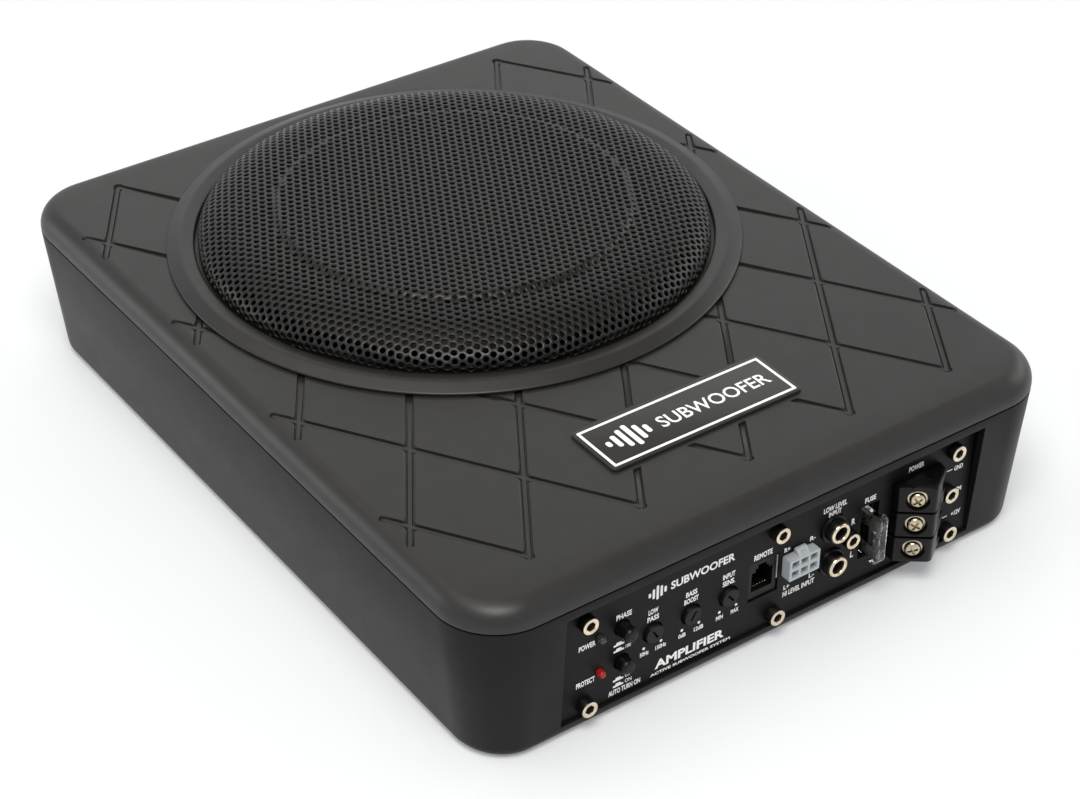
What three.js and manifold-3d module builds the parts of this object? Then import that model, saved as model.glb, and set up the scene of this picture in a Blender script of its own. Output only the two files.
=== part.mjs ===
// A powered under-seat car subwoofer: a tapered metal enclosure, a top cover that carries a shallow
// driver behind a domed grille, and a control and connection panel in the front wall.
//
// Units are millimetres. +X runs along the control panel, the panel faces -Y and +Z is up. The
// origin is the centre of the flat underside.
import * as THREE from 'three';
import { mergeVertices } from 'three/addons/utils/BufferGeometryUtils.js';
import Module from 'manifold-3d';

// ---- driving dimensions -------------------------------------------------------------------------
const WIDTH = 270; // at the seam between enclosure and cover, along X
const LENGTH = 345; // at the same seam, along Y
const CORNER_RADIUS = 25;
const SEAM_Z = 61.5; // top of the enclosure
const COVER_TOP_Z = 71.5;
const SEAM_GAP = 0.5;
const WALL = 3;
const SIDE_TAPER = 6; // how far each long wall leans in, from the seam to the underside
const END_TAPER = 4; // the same for the two short walls
const UNDERSIDE_RADIUS = 5;
const COVER_ROLL_RADIUS = 8.5;
const CORNER_STEPS = 3;
const GAP = 0.3; // clearance between neighbouring pieces

const SPEAKER_Y = 42.5; // the driver sits towards the back
const ROUND_SIDES = 40; // facets of the large turned pieces
const COVER_OPENING_RADIUS = 93;
const RING_OUTER_RADIUS = 118.5;
const RING_INNER_RADIUS = 107;
const GRILLE_RADIUS = 105.6;
const GRILLE_SHEET = 1;
const FLANGE_RADIUS = 102.4;
const DRIVER_SCREW_CIRCLE = 97.6;

const BADGE = { x: -1, y: -114.7, width: 88.6, depth: 27.8, proud: 1.1, sunk: 0.7 };

const PANEL_FRONT_Y = -167.5;
const PANEL_SHEET = 2;
const RECESS = { halfWidth: 97.5, bottom: 6.1, top: 57.6 };
const PANEL_MARGIN = 0.8; // shadow gap between the panel's edge and its recess
const LEDGE_DEPTH = 3;
const WINDOW = { halfWidth: 92.5, bottom: 13.4, top: 46.6 };
const PANEL_SCREWS = [
  [-86.4, 49.2], [-86.4, 10.4], [0, 49.4], [0, 10.5],
  [35.2, 30.6], [86.4, 49.2], [84.9, 29.8], [86.4, 10.4],
];
const LED_X = -79.8;
const BUTTON_X = -70;
const UPPER_ROW_Z = 38.3;
const LOWER_ROW_Z = 22.4;
const KNOB_Z = 29.2;
const KNOBS = [
  { name: 'low_pass', x: -56.2, pointer: -31 },
  { name: 'bass_boost', x: -38.9, pointer: 33 },
  { name: 'input_level', x: -21.6, pointer: -38 },
];
const KNOB_RADIUS = 3.9;
const JACK = { left: -11.9, right: 1.6, bottom: 21.3, top: 38.3 };
const HEADER = { left: 3.9, right: 18.4, bottom: 26, top: 35.6, proud: 4 };
const RCA_X = 27.5;
const RCA_ROWS = { right: 38.5, left: 22.6 };
const RCA_PROUD = 5.2;
const FUSE = { x: 45.4, z: 28.5, width: 6.2, height: 20.6, proud: 8 };
const FUSE_SLOT = { left: 41.4, right: 50.3, bottom: 16.6, top: 41.3 };
const TERMINALS = { bottom: 11.4, cell: 11.7, count: 3 };

const AMPLIFIER_BOARD = { halfWidth: 95, front: -145, back: -75, bottom: 8, thickness: 1.6 };

// ---- joining and cutting ------------------------------------------------------------------------
const wasm = await Module();
wasm.setup();

// A closed geometry as a solid: shared vertices merged, and the slivers that merging leaves removed.
function toSolid(geometry) {
  const bare = geometry.clone();
  bare.deleteAttribute('normal');
  bare.deleteAttribute('uv');
  const merged = mergeVertices(bare, 1e-4);
  const corners = merged.index.array;
  const kept = [];
  for (let i = 0; i < corners.length; i += 3) {
    const [a, b, c] = [corners[i], corners[i + 1], corners[i + 2]];
    if (a !== b && b !== c && c !== a) kept.push(a, b, c);
  }
  return new wasm.Manifold(new wasm.Mesh({
    numProp: 3,
    vertProperties: new Float32Array(merged.attributes.position.array),
    triVerts: new Uint32Array(kept),
  }));
}

function toGeometry(solid) {
  const mesh = solid.getMesh();
  const geometry = new THREE.BufferGeometry();
  geometry.setAttribute('position', new THREE.BufferAttribute(mesh.vertProperties.slice(), 3));
  geometry.setIndex(new THREE.BufferAttribute(mesh.triVerts.slice(), 1));
  geometry.computeVertexNormals();
  return geometry;
}

const joined = (first, ...others) => others.reduce((sum, next) => sum.add(next), first);
const cutBy = (first, ...tools) => tools.reduce((rest, tool) => rest.subtract(tool), first);

// ---- basic solids -------------------------------------------------------------------------------
// A block between two opposite corners.
function block(low, high) {
  const size = high.map((value, axis) => value - low[axis]);
  const geometry = new THREE.BoxGeometry(...size);
  geometry.translate(...low.map((value, axis) => value + size[axis] / 2));
  return toSolid(geometry);
}

// A round bar along Z between two heights.
function bar(radius, bottom, top, sides, x = 0, y = 0) {
  const geometry = new THREE.CylinderGeometry(radius, radius, top - bottom, sides);
  geometry.rotateX(Math.PI / 2);
  geometry.translate(x, y, (bottom + top) / 2);
  return toSolid(geometry);
}

// A round bar along Y between two depths.
function crossBar(radius, front, back, sides, x, z) {
  const geometry = new THREE.CylinderGeometry(radius, radius, back - front, sides);
  geometry.translate(x, (front + back) / 2, z);
  return toSolid(geometry);
}

// A turned piece about Z from a closed outline of [radius, height] points, in either direction.
function turned(outline, sides = ROUND_SIDES) {
  const next = (i) => outline[(i + 1) % outline.length];
  const area = outline.reduce((sum, [r, z], i) => sum + r * next(i)[1] - next(i)[0] * z, 0);
  const ordered = area > 0 ? [...outline] : [...outline].reverse();
  ordered.push(ordered[0]);
  const geometry = new THREE.LatheGeometry(ordered.map(([r, z]) => new THREE.Vector2(r, z)), sides);
  geometry.rotateX(Math.PI / 2);
  return toSolid(geometry);
}

// A plate standing in the XZ plane: an outline of [x, z] points, from a back plane forward to -Y.
function uprightPlate(outline, back, thickness) {
  const shape = new THREE.Shape(outline.map(([x, z]) => new THREE.Vector2(x, z)));
  const geometry = new THREE.ExtrudeGeometry(shape, { depth: thickness, bevelEnabled: false });
  geometry.rotateX(Math.PI / 2);
  geometry.translate(0, back, 0);
  return toSolid(geometry);
}

// ---- the body's outline -------------------------------------------------------------------------
function bodyOutline() {
  const [x, y, r] = [WIDTH / 2, LENGTH / 2, CORNER_RADIUS];
  const shape = new THREE.Shape();
  shape.moveTo(-x + r, -y);
  shape.lineTo(x - r, -y);
  shape.absarc(x - r, -y + r, r, -Math.PI / 2, 0);
  shape.lineTo(x, y - r);
  shape.absarc(x - r, y - r, r, 0, Math.PI / 2);
  shape.lineTo(-x + r, y);
  shape.absarc(-x + r, y - r, r, Math.PI / 2, Math.PI);
  shape.lineTo(-x, -y + r);
  shape.absarc(-x + r, -y + r, r, Math.PI, 1.5 * Math.PI);
  return shape;
}

// A solid with the body's outline at each level, drawn in by that level's insets along X and Y.
function bodyLoft(levels) {
  const spans = levels.length - 1;
  const geometry = new THREE.ExtrudeGeometry(bodyOutline(), {
    depth: spans,
    steps: spans,
    bevelEnabled: false,
    curveSegments: CORNER_STEPS,
  });
  const points = geometry.attributes.position;
  const [reachX, reachY] = [WIDTH / 2 - CORNER_RADIUS, LENGTH / 2 - CORNER_RADIUS];
  for (let i = 0; i < points.count; i += 1) {
    const [x, y] = [points.getX(i), points.getY(i)];
    const outwardX = (x - THREE.MathUtils.clamp(x, -reachX, reachX)) / CORNER_RADIUS;
    const outwardY = (y - THREE.MathUtils.clamp(y, -reachY, reachY)) / CORNER_RADIUS;
    const level = levels[Math.round(points.getZ(i))];
    points.setXYZ(i, x - outwardX * level.insetX, y - outwardY * level.insetY, level.z);
  }
  return toSolid(geometry);
}

// The tapered wall's inset at a height, plus a further inset.
function wallLevel(z, further = 0) {
  const share = Math.max(0, 1 - z / SEAM_Z);
  return { z, insetX: SIDE_TAPER * share + further, insetY: END_TAPER * share + further };
}

const evenLevel = (z, inset) => ({ z, insetX: inset, insetY: inset });
const degrees = THREE.MathUtils.degToRad;

// ---- the scene graph ----------------------------------------------------------------------------
const subwoofer = new THREE.Group();

function addPiece(name, solid, look, place = (mesh) => mesh) {
  const material = new THREE.MeshStandardMaterial(look);
  const mesh = new THREE.Mesh(toGeometry(solid), material);
  mesh.name = name;
  place(mesh);
  subwoofer.add(mesh);
}

const CHARCOAL = { color: 0x2b2b2c, roughness: 0.5, metalness: 0.2 };
const BLACK = { color: 0x121212, roughness: 0.55, metalness: 0 };
const BOARD = { color: 0x1d4a2c, roughness: 0.6, metalness: 0 };
const STEEL = { color: 0x9a958c, roughness: 0.35, metalness: 0.9 };
const GOLD = { color: 0xd9c08a, roughness: 0.25, metalness: 0.95 };

// ---- enclosure ----------------------------------------------------------------------------------
const POST = { x: 118, y: 155.5, radius: 5, top: 40, boreRadius: 4, boreTop: 30, holeRadius: 2.1 };
const postPlaces = [[1, 1], [-1, 1], [-1, -1], [1, -1]].map(([a, b]) => [a * POST.x, b * POST.y]);
const ledgeFront = PANEL_FRONT_Y + PANEL_SHEET + GAP;
const OUTSIDE = 20; // how far a cutting tool reaches past what it cuts

function enclosure() {
  const underside = [0, 30, 60, 90].map((angle) => {
    const along = UNDERSIDE_RADIUS * (1 - Math.sin(degrees(angle)));
    return wallLevel(UNDERSIDE_RADIUS * (1 - Math.cos(degrees(angle))), along);
  });
  const outside = bodyLoft([...underside, wallLevel(SEAM_Z)]);
  const inside = bodyLoft([wallLevel(WALL, WALL + 2), wallLevel(WALL + 3, WALL), wallLevel(SEAM_Z + 1, WALL)]);
  const half = RECESS.halfWidth;
  const frame = block(
    [-half - WALL, -LENGTH / 2 - 1, WALL / 2],
    [half + WALL, ledgeFront + LEDGE_DEPTH, RECESS.top + WALL],
  ).intersect(outside);
  const recess = block([-half, -LENGTH / 2 - OUTSIDE, RECESS.bottom], [half, ledgeFront, RECESS.top]);
  const window = block(
    [-WINDOW.halfWidth, -LENGTH / 2 - OUTSIDE, WINDOW.bottom],
    [WINDOW.halfWidth, ledgeFront + OUTSIDE, WINDOW.top],
  );
  const ledgeHoles = PANEL_SCREWS.filter(([, z]) => z < WINDOW.bottom || z > WINDOW.top)
    .map(([x, z]) => crossBar(2, ledgeFront - 1, ledgeFront + LEDGE_DEPTH + 1, 10, x, z));
  const posts = postPlaces.map(([x, y]) => bar(POST.radius, WALL / 2, POST.top, 12, x, y));
  const bores = postPlaces.map(([x, y]) => bar(POST.boreRadius, -1, POST.boreTop, 12, x, y));
  const holes = postPlaces.map(([x, y]) => bar(POST.holeRadius, 0, POST.top + 1, 12, x, y));
  const { front, back, bottom } = AMPLIFIER_BOARD;
  const standoffs = [[-1, front], [1, front], [-1, back], [1, back]].map(([side, edge]) => {
    const inward = edge === front ? 7 : -7;
    return bar(3, WALL / 2, bottom - GAP, 10, side * (AMPLIFIER_BOARD.halfWidth - 7), edge + inward);
  });
  const shell = joined(cutBy(outside, inside), frame);
  const opened = cutBy(shell, recess, window, ...ledgeHoles);
  return cutBy(joined(opened, ...posts, ...standoffs), ...bores, ...holes);
}
addPiece('enclosure', enclosure(), CHARCOAL);

// ---- top cover ----------------------------------------------------------------------------------
function topCover() {
  const rollCentre = COVER_TOP_Z - COVER_ROLL_RADIUS;
  const roll = (radius) => [0, 22.5, 45, 67.5, 90].map((angle) => evenLevel(
    rollCentre + radius * Math.sin(degrees(angle)),
    COVER_ROLL_RADIUS - radius * Math.cos(degrees(angle)),
  ));
  const seamTop = SEAM_Z + SEAM_GAP;
  const outside = bodyLoft([evenLevel(seamTop, 0), ...roll(COVER_ROLL_RADIUS)]);
  const inside = bodyLoft([evenLevel(seamTop - 1, WALL), ...roll(COVER_ROLL_RADIUS - WALL)]);
  const lipOut = bodyLoft([evenLevel(SEAM_Z - 3, WALL + 0.5), evenLevel(rollCentre + 1, WALL + 0.5)]);
  const lipIn = bodyLoft([evenLevel(SEAM_Z - 4, WALL + 2.5), evenLevel(rollCentre + 2, WALL + 2.5)]);
  const shell = cutBy(outside, inside);
  const shelf = bodyLoft([evenLevel(seamTop + 0.5, 1), evenLevel(rollCentre + 1, 1)]);
  const panelRelief = block(
    [-RECESS.halfWidth - WALL - 1, -LENGTH / 2, SEAM_Z - 5],
    [RECESS.halfWidth + WALL + 1, ledgeFront + LEDGE_DEPTH + 1, SEAM_Z],
  );
  const lip = cutBy(joined(lipOut, shelf), lipIn, panelRelief);
  const bosses = postPlaces.map(([x, y]) => bar(POST.radius, POST.top + GAP, COVER_TOP_Z - 1, 12, x, y));
  const bossHoles = postPlaces.map(([x, y]) => bar(POST.holeRadius, POST.top - 1, COVER_TOP_Z - 6, 12, x, y));
  const opening = bar(COVER_OPENING_RADIUS, SEAM_Z, COVER_TOP_Z + 1, ROUND_SIDES, 0, SPEAKER_Y);
  const driverHoles = driverScrewPlaces().map(([x, y]) => bar(2, SEAM_Z, COVER_TOP_Z + 1, 10, x, y));
  const pocket = block(
    [BADGE.x - BADGE.width / 2 - GAP, BADGE.y - BADGE.depth / 2 - GAP, COVER_TOP_Z - BADGE.sunk - GAP],
    [BADGE.x + BADGE.width / 2 + GAP, BADGE.y + BADGE.depth / 2 + GAP, COVER_TOP_Z + 1],
  );
  const solid = joined(shell, lip, ...bosses);
  return cutBy(solid, opening, pocket, ...driverHoles, ...bossHoles);
}

function driverScrewPlaces() {
  return [45, 135, 225, 315].map((angle) => [
    DRIVER_SCREW_CIRCLE * Math.cos(degrees(angle)),
    SPEAKER_Y + DRIVER_SCREW_CIRCLE * Math.sin(degrees(angle)),
  ]);
}
addPiece('top_cover', topCover(), CHARCOAL);

addPiece('badge_plate', block(
  [BADGE.x - BADGE.width / 2, BADGE.y - BADGE.depth / 2, COVER_TOP_Z - BADGE.sunk],
  [BADGE.x + BADGE.width / 2, BADGE.y + BADGE.depth / 2, COVER_TOP_Z + BADGE.proud],
), CHARCOAL);

// ---- trim ring and grille -----------------------------------------------------------------------
const aboveCover = ([radius, height]) => [radius, COVER_TOP_Z + height];
const toSpeaker = (mesh) => mesh.position.set(0, SPEAKER_Y, 0);

addPiece('speaker_trim_ring', turned([
  [RING_OUTER_RADIUS, GAP], [RING_OUTER_RADIUS, 1.1], [117.9, 1.6], [113.4, 3], [112.4, 3.2],
  [107.6, 3.1], [RING_INNER_RADIUS, 2.6], [RING_INNER_RADIUS, GAP],
].map(aboveCover)), CHARCOAL, toSpeaker);

const GRILLE_OUTSIDE = [
  [GRILLE_RADIUS, GAP], [105.5, 4.2], [104.2, 7.1], [101.4, 9.4], [97, 11.5], [91, 13.3],
  [83.5, 14.4], [75.2, 14.9], [73.8, 15.7], [0, 16.1],
];
const grilleInside = GRILLE_OUTSIDE.map(([radius, height], i) => {
  const [before, after] = [GRILLE_OUTSIDE[Math.max(i - 1, 0)], GRILLE_OUTSIDE[Math.min(i + 1, 9)]];
  const along = new THREE.Vector2(after[0] - before[0], after[1] - before[1]).normalize();
  const level = i === 0 || radius === 0;
  const shiftedRadius = radius === 0 ? 0 : radius - GRILLE_SHEET * along.y;
  return [shiftedRadius, i === 0 ? height : height + GRILLE_SHEET * (level ? -1 : along.x)];
});
addPiece('speaker_grille', turned(
  [...GRILLE_OUTSIDE, ...grilleInside.reverse()].map(aboveCover),
), BLACK, toSpeaker);

// ---- driver -------------------------------------------------------------------------------------
const FLANGE = { bottom: COVER_TOP_Z + GAP, top: COVER_TOP_Z + 2.5 };
const CONE = { neckRadius: 18.9, neckZ: 48, edgeRadius: 76, edgeZ: 73.7, thickness: 1.2 };
const MOTOR = { plateRadius: 48, yokeBottom: 8.5, yokeTop: 13.7, magnetTop: 27, plateTop: 32.3 };

function driverBasket() {
  const floor = MOTOR.plateTop + GAP;
  const body = turned([
    [FLANGE_RADIUS, FLANGE.bottom], [FLANGE_RADIUS, FLANGE.top], [89.8, FLANGE.top], [89.8, 61],
    [58.5, 38], [50, 38], [50, floor + 1.6], [24, floor + 1.6], [24, floor], [60, floor],
    [60, 36], [91.4, 60], [92.4, FLANGE.bottom],
  ]);
  const windows = [0, 60, 120, 180, 240, 300].map((angle) => {
    const slot = new THREE.BoxGeometry(22, 30, 16);
    slot.translate(76, 0, 49);
    slot.rotateZ(degrees(angle));
    return toSolid(slot);
  });
  const holes = driverScrewPlaces()
    .map(([x, y]) => bar(2, FLANGE.bottom - 1, FLANGE.top + 1, 10, x, y - SPEAKER_Y));
  return cutBy(body, ...windows, ...holes);
}
addPiece('driver_basket', driverBasket(), BLACK, toSpeaker);

const surroundFoot = FLANGE.top + GAP;
addPiece('cone_surround', turned([
  [94.2, surroundFoot], [94.2, surroundFoot + 1], [89, surroundFoot + 1.2], [86.5, surroundFoot + 5],
  [82, surroundFoot + 6.8], [77.5, surroundFoot + 5], [75, surroundFoot + 1.2],
  [71, surroundFoot + 1], [71, surroundFoot], [76, surroundFoot], [78.5, surroundFoot + 4],
  [82, surroundFoot + 5.6], [85.5, surroundFoot + 4], [88, surroundFoot],
]), BLACK, toSpeaker);

addPiece('speaker_cone', turned([
  [CONE.neckRadius, CONE.neckZ], [CONE.edgeRadius - 6, CONE.edgeZ - CONE.thickness],
  [CONE.edgeRadius, CONE.edgeZ - CONE.thickness], [CONE.edgeRadius, CONE.edgeZ],
  [CONE.edgeRadius - 6.5, CONE.edgeZ], [CONE.neckRadius, CONE.neckZ + CONE.thickness * 1.2],
]), BLACK, toSpeaker);

addPiece('dust_cap', turned([
  [0, 59.6], [10, 58.3], [18, 54.9], [23.2, 51.9], [24.4, 52.6], [19, 55.9], [10.4, 59.4], [0, 60.8],
], 24), BLACK, toSpeaker);

addPiece('voice_coil', turned([
  [17, 22], [18.6, 22], [18.6, 36], [17.7, 36], [17.7, 50], [17, 50],
], 24), { color: 0x9c5a2e, roughness: 0.4, metalness: 0.6 }, toSpeaker);

addPiece('spider_suspension', turned([
  [19, 40.6], [19, 41.4], [24, 41.4], [28, 43.4], [33, 39.8], [38, 43.4], [43, 39.8], [47, 41.2],
  [56, 39.3], [56, 38.5], [51, 38.5], [47, 40.4], [43, 39], [38, 42.6], [33, 39], [28, 42.6],
  [24, 40.6],
], 24), { color: 0xb98c3c, roughness: 0.9, metalness: 0 }, toSpeaker);

addPiece('magnet_top_plate', turned([
  [19.2, MOTOR.magnetTop + GAP], [MOTOR.plateRadius, MOTOR.magnetTop + GAP],
  [MOTOR.plateRadius, MOTOR.plateTop], [19.2, MOTOR.plateTop],
], 24), STEEL, toSpeaker);

addPiece('ring_magnet', turned([
  [25, MOTOR.yokeTop + GAP], [50, MOTOR.yokeTop + GAP], [50, MOTOR.magnetTop], [25, MOTOR.magnetTop],
], 24), { color: 0x2c2c2e, roughness: 0.8, metalness: 0.1 }, toSpeaker);

addPiece('pole_yoke', turned([
  [0, MOTOR.yokeBottom], [MOTOR.plateRadius, MOTOR.yokeBottom], [MOTOR.plateRadius, MOTOR.yokeTop],
  [16, MOTOR.yokeTop], [16, MOTOR.plateTop], [0, MOTOR.plateTop],
], 24), STEEL, toSpeaker);

// ---- fasteners ----------------------------------------------------------------------------------
// A screw along Z with its head's seat at zero, the head above it and the shank below.
function screw(headRadius, headHeight, shankRadius, shankLength) {
  return turned([
    [0, -shankLength], [shankRadius, -shankLength], [shankRadius, 0], [headRadius, 0],
    [headRadius, headHeight], [0, headHeight],
  ], 12);
}

function crossSlotted(solid, headHeight, reach, width, depth) {
  const low = headHeight - depth;
  const high = headHeight + 1;
  return cutBy(
    solid,
    block([-reach, -width / 2, low], [reach, width / 2, high]),
    block([-width / 2, -reach, low], [width / 2, reach, high]),
  );
}

const CAP_HEAD = { radius: 3.5, height: 4, socketRadius: 1.75, socketDepth: 2 };
PANEL_SCREWS.forEach(([x, z], i) => {
  const socket = bar(CAP_HEAD.socketRadius, CAP_HEAD.height - CAP_HEAD.socketDepth, CAP_HEAD.height + 1, 6);
  const solid = cutBy(screw(CAP_HEAD.radius, CAP_HEAD.height, 1.7, 7), socket);
  addPiece(`panel_screw_${i + 1}`, solid, STEEL, (mesh) => {
    mesh.rotation.x = Math.PI / 2;
    mesh.position.set(x, PANEL_FRONT_Y - GAP, z);
  });
});

driverScrewPlaces().forEach(([x, y], i) => {
  const solid = crossSlotted(screw(3, 1.8, 1.7, 8), 1.8, 1.6, 0.7, 0.9);
  addPiece(`driver_screw_${i + 1}`, solid, BLACK, (mesh) => {
    mesh.position.set(x, y, FLANGE.top + GAP);
  });
});

postPlaces.forEach(([x, y], i) => {
  const solid = crossSlotted(screw(3.6, 2.4, 1.8, 24), 2.4, 2, 0.8, 1.2);
  addPiece(`cover_screw_${i + 1}`, solid, STEEL, (mesh) => {
    mesh.rotation.x = Math.PI;
    mesh.position.set(x, y, POST.boreTop - GAP);
  });
});

// ---- control panel ------------------------------------------------------------------------------
const panelBack = PANEL_FRONT_Y + PANEL_SHEET;
const BUTTON = { radius: 3.1, tipRadius: 2.1, chamfer: 0.8, clearance: 0.4 };

function rectangleOf({ left, right, bottom, top }, grown = 0) {
  return block([left - grown, PANEL_FRONT_Y - 1, bottom - grown], [right + grown, panelBack + 1, top + grown]);
}

const TERMINAL_FOOT = { left: 58, right: 77, bottom: 14, top: 44 };

function controlPanel() {
  const [half, low, high] = [
    RECESS.halfWidth - PANEL_MARGIN, RECESS.bottom + PANEL_MARGIN, RECESS.top - PANEL_MARGIN,
  ];
  const plate = uprightPlate([[-half, low], [half, low], [half, high], [-half, high]], panelBack, PANEL_SHEET);
  const hole = (radius, sides, x, z) => crossBar(radius, PANEL_FRONT_Y - 1, panelBack + 1, sides, x, z);
  return cutBy(
    plate,
    ...PANEL_SCREWS.map(([x, z]) => hole(2, 10, x, z)),
    ...[UPPER_ROW_Z, LOWER_ROW_Z].map((z) => hole(1.8, 10, LED_X, z)),
    ...[UPPER_ROW_Z, LOWER_ROW_Z].map((z) => hole(BUTTON.radius + BUTTON.clearance, 16, BUTTON_X, z)),
    ...KNOBS.map(({ x }) => hole(KNOB_RADIUS + 0.6, 16, x, KNOB_Z)),
    ...Object.values(RCA_ROWS).map((z) => hole(6, 16, RCA_X, z)),
    rectangleOf(JACK, GAP),
    rectangleOf(HEADER, GAP),
    rectangleOf(FUSE_SLOT),
    rectangleOf(TERMINAL_FOOT, GAP),
  );
}
addPiece('control_panel', controlPanel(), CHARCOAL);

// ---- lamps and push switches --------------------------------------------------------------------
const facingFront = (x, y, z) => (mesh) => {
  mesh.rotation.x = Math.PI / 2;
  mesh.position.set(x, y, z);
};

function lamp() {
  return turned([[0, -6], [1.9, -6], [1.9, 0], [1.5, 0], [1.5, 3.6], [1.1, 4.6], [0, 5]], 12);
}
const lampSeat = panelBack + GAP;
addPiece('power_lamp', lamp(), { color: 0x2c3a33, roughness: 0.2, metalness: 0 }, facingFront(LED_X, lampSeat, UPPER_ROW_Z));
addPiece('protect_lamp', lamp(), { color: 0xd02a1c, roughness: 0.2, metalness: 0 }, facingFront(LED_X, lampSeat, LOWER_ROW_Z));

const SWITCH_BACK = -153.4;
const SWITCH_FRONT = -163.2;
const PUSH_SWITCHES = [
  { name: 'phase', z: UPPER_ROW_Z, proud: 6.6 },
  { name: 'auto_turn_on', z: LOWER_ROW_Z, proud: 5.1 },
];
const PLUNGER_BACK = -159; // where a fully released plunger ends inside its switch
PUSH_SWITCHES.forEach(({ name, z, proud }) => {
  const inward = PUSH_SWITCHES[0].proud - proud;
  const back = PANEL_FRONT_Y - PLUNGER_BACK - inward;
  addPiece(`${name}_button`, turned([
    [0, back], [BUTTON.radius, back], [BUTTON.radius, proud - BUTTON.chamfer], [BUTTON.tipRadius, proud], [0, proud],
  ], 16), BLACK, facingFront(BUTTON_X, PANEL_FRONT_Y, z));
  const housing = block([BUTTON_X - 4.2, SWITCH_FRONT, z - 4.2], [BUTTON_X + 4.2, SWITCH_BACK, z + 4.2]);
  const well = crossBar(BUTTON.radius + BUTTON.clearance, SWITCH_FRONT - 1, SWITCH_BACK - 1.4, 16, BUTTON_X, z);
  addPiece(`${name}_switch_body`, cutBy(housing, well), { color: 0x8a8d90, roughness: 0.5, metalness: 0.4 });
});

// ---- rotary controls ----------------------------------------------------------------------------
const KNOB = { proud: 1.7, length: 6, slotLength: 4.2, slotWidth: 0.9, slotDepth: 0.7 };
KNOBS.forEach(({ name, x, pointer }) => {
  const round = bar(KNOB_RADIUS, -KNOB.length, KNOB.proud, 16);
  const slot = block(
    [-KNOB.slotWidth / 2, -KNOB.slotLength / 2, KNOB.proud - KNOB.slotDepth],
    [KNOB.slotWidth / 2, KNOB.slotLength / 2, KNOB.proud + 1],
  );
  addPiece(`${name}_knob`, cutBy(round, slot), CHARCOAL, (mesh) => {
    mesh.rotation.order = 'XZY';
    mesh.rotation.x = Math.PI / 2;
    mesh.rotation.z = degrees(-pointer);
    mesh.position.set(x, PANEL_FRONT_Y, KNOB_Z);
  });
  const knobBack = PANEL_FRONT_Y + KNOB.length;
  addPiece(`${name}_potentiometer`, block(
    [x - 5, knobBack + GAP, KNOB_Z - 5.6], [x + 5, SWITCH_BACK, KNOB_Z + 5.6],
  ), { color: 0x8a8d90, roughness: 0.5, metalness: 0.4 });
});

// ---- sockets ------------------------------------------------------------------------------------
const SOCKET_FRONT = panelBack + GAP;

// A lug behind the panel that reaches from a housing to the panel screw that holds it.
function withLug(housing, fromX, [x, z]) {
  const lug = block([fromX, SOCKET_FRONT, z - 4.6], [x + 4.6, SOCKET_FRONT + 5, z + 4.6]);
  return joined(housing, lug).subtract(crossBar(2, SOCKET_FRONT - 1, SOCKET_FRONT + 6, 10, x, z));
}

function rcaHousing() {
  const bottom = RCA_ROWS.left - 7.5;
  const top = RCA_ROWS.right + 7.5;
  const body = block([RCA_X - 6.8, SOCKET_FRONT, bottom], [RCA_X + 6.8, SWITCH_BACK, top]);
  const rows = Object.values(RCA_ROWS);
  const collars = rows.map((z) => crossBar(5.7, PANEL_FRONT_Y - 1.3, SOCKET_FRONT + 1, 16, RCA_X, z));
  const bores = rows.map((z) => crossBar(4.8, PANEL_FRONT_Y - 2, SOCKET_FRONT + 5, 16, RCA_X, z));
  return withLug(joined(body, ...collars), RCA_X, PANEL_SCREWS[4]).subtract(joined(...bores));
}
addPiece('rca_housing', rcaHousing(), BLACK);
Object.entries(RCA_ROWS).forEach(([side, z]) => {
  const shell = turned([[2.8, -6.5], [4.5, -6.5], [4.5, RCA_PROUD], [2.8, RCA_PROUD]], 16);
  addPiece(`rca_contact_${side}`, shell, GOLD, facingFront(RCA_X, PANEL_FRONT_Y, z));
});

// The remote's modular socket: a wide well with a narrower latch notch above it.
const JACK_WELL = { left: -10.2, right: -0.4, bottom: 24.6, top: 34.4, back: -156 };
const JACK_FRONT = PANEL_FRONT_Y + 0.8;
const jackBody = block([JACK.left, JACK_FRONT, JACK.bottom], [JACK.right, SWITCH_BACK, JACK.top]);
const jackWell = block(
  [JACK_WELL.left, JACK_FRONT - 1, JACK_WELL.bottom], [JACK_WELL.right, JACK_WELL.back, JACK_WELL.top],
);
const latchNotch = block(
  [JACK_WELL.left + 2, JACK_FRONT - 1, JACK_WELL.top - 1], [JACK_WELL.right - 2, JACK_WELL.back, JACK_WELL.top + 2.2],
);
addPiece('remote_socket', cutBy(jackBody, jackWell, latchNotch), BLACK);

function speakerHeader() {
  const front = PANEL_FRONT_Y - HEADER.proud;
  const body = block([HEADER.left, front, HEADER.bottom], [HEADER.right, SWITCH_BACK, HEADER.top]);
  const middle = (HEADER.left + HEADER.right) / 2;
  const centre = (HEADER.bottom + HEADER.top) / 2;
  const cells = [-1, 0, 1].flatMap((column) => [-1, 1].map((row) => {
    const [x, z] = [middle + column * 4.4, centre + row * 2.15];
    return block([x - 1.6, front - 1, z - 1.5], [x + 1.6, front + 8, z + 1.5]);
  }));
  const latchShape = new THREE.Shape([
    new THREE.Vector2(front + 0.3, HEADER.top - 0.5), new THREE.Vector2(PANEL_FRONT_Y - GAP, HEADER.top - 0.5),
    new THREE.Vector2(PANEL_FRONT_Y - GAP, HEADER.top + 4), new THREE.Vector2(PANEL_FRONT_Y - 1.4, HEADER.top + 4),
  ]);
  const latch = new THREE.ExtrudeGeometry(latchShape, { depth: 5.2, bevelEnabled: false });
  latch.rotateX(Math.PI / 2);
  latch.rotateZ(Math.PI / 2);
  latch.translate(middle - 2.6, 0, 0);
  return cutBy(joined(body, toSolid(latch)), ...cells);
}
addPiece('speaker_level_header', speakerHeader(), { color: 0xe9ebea, roughness: 0.45, metalness: 0 });

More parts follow.
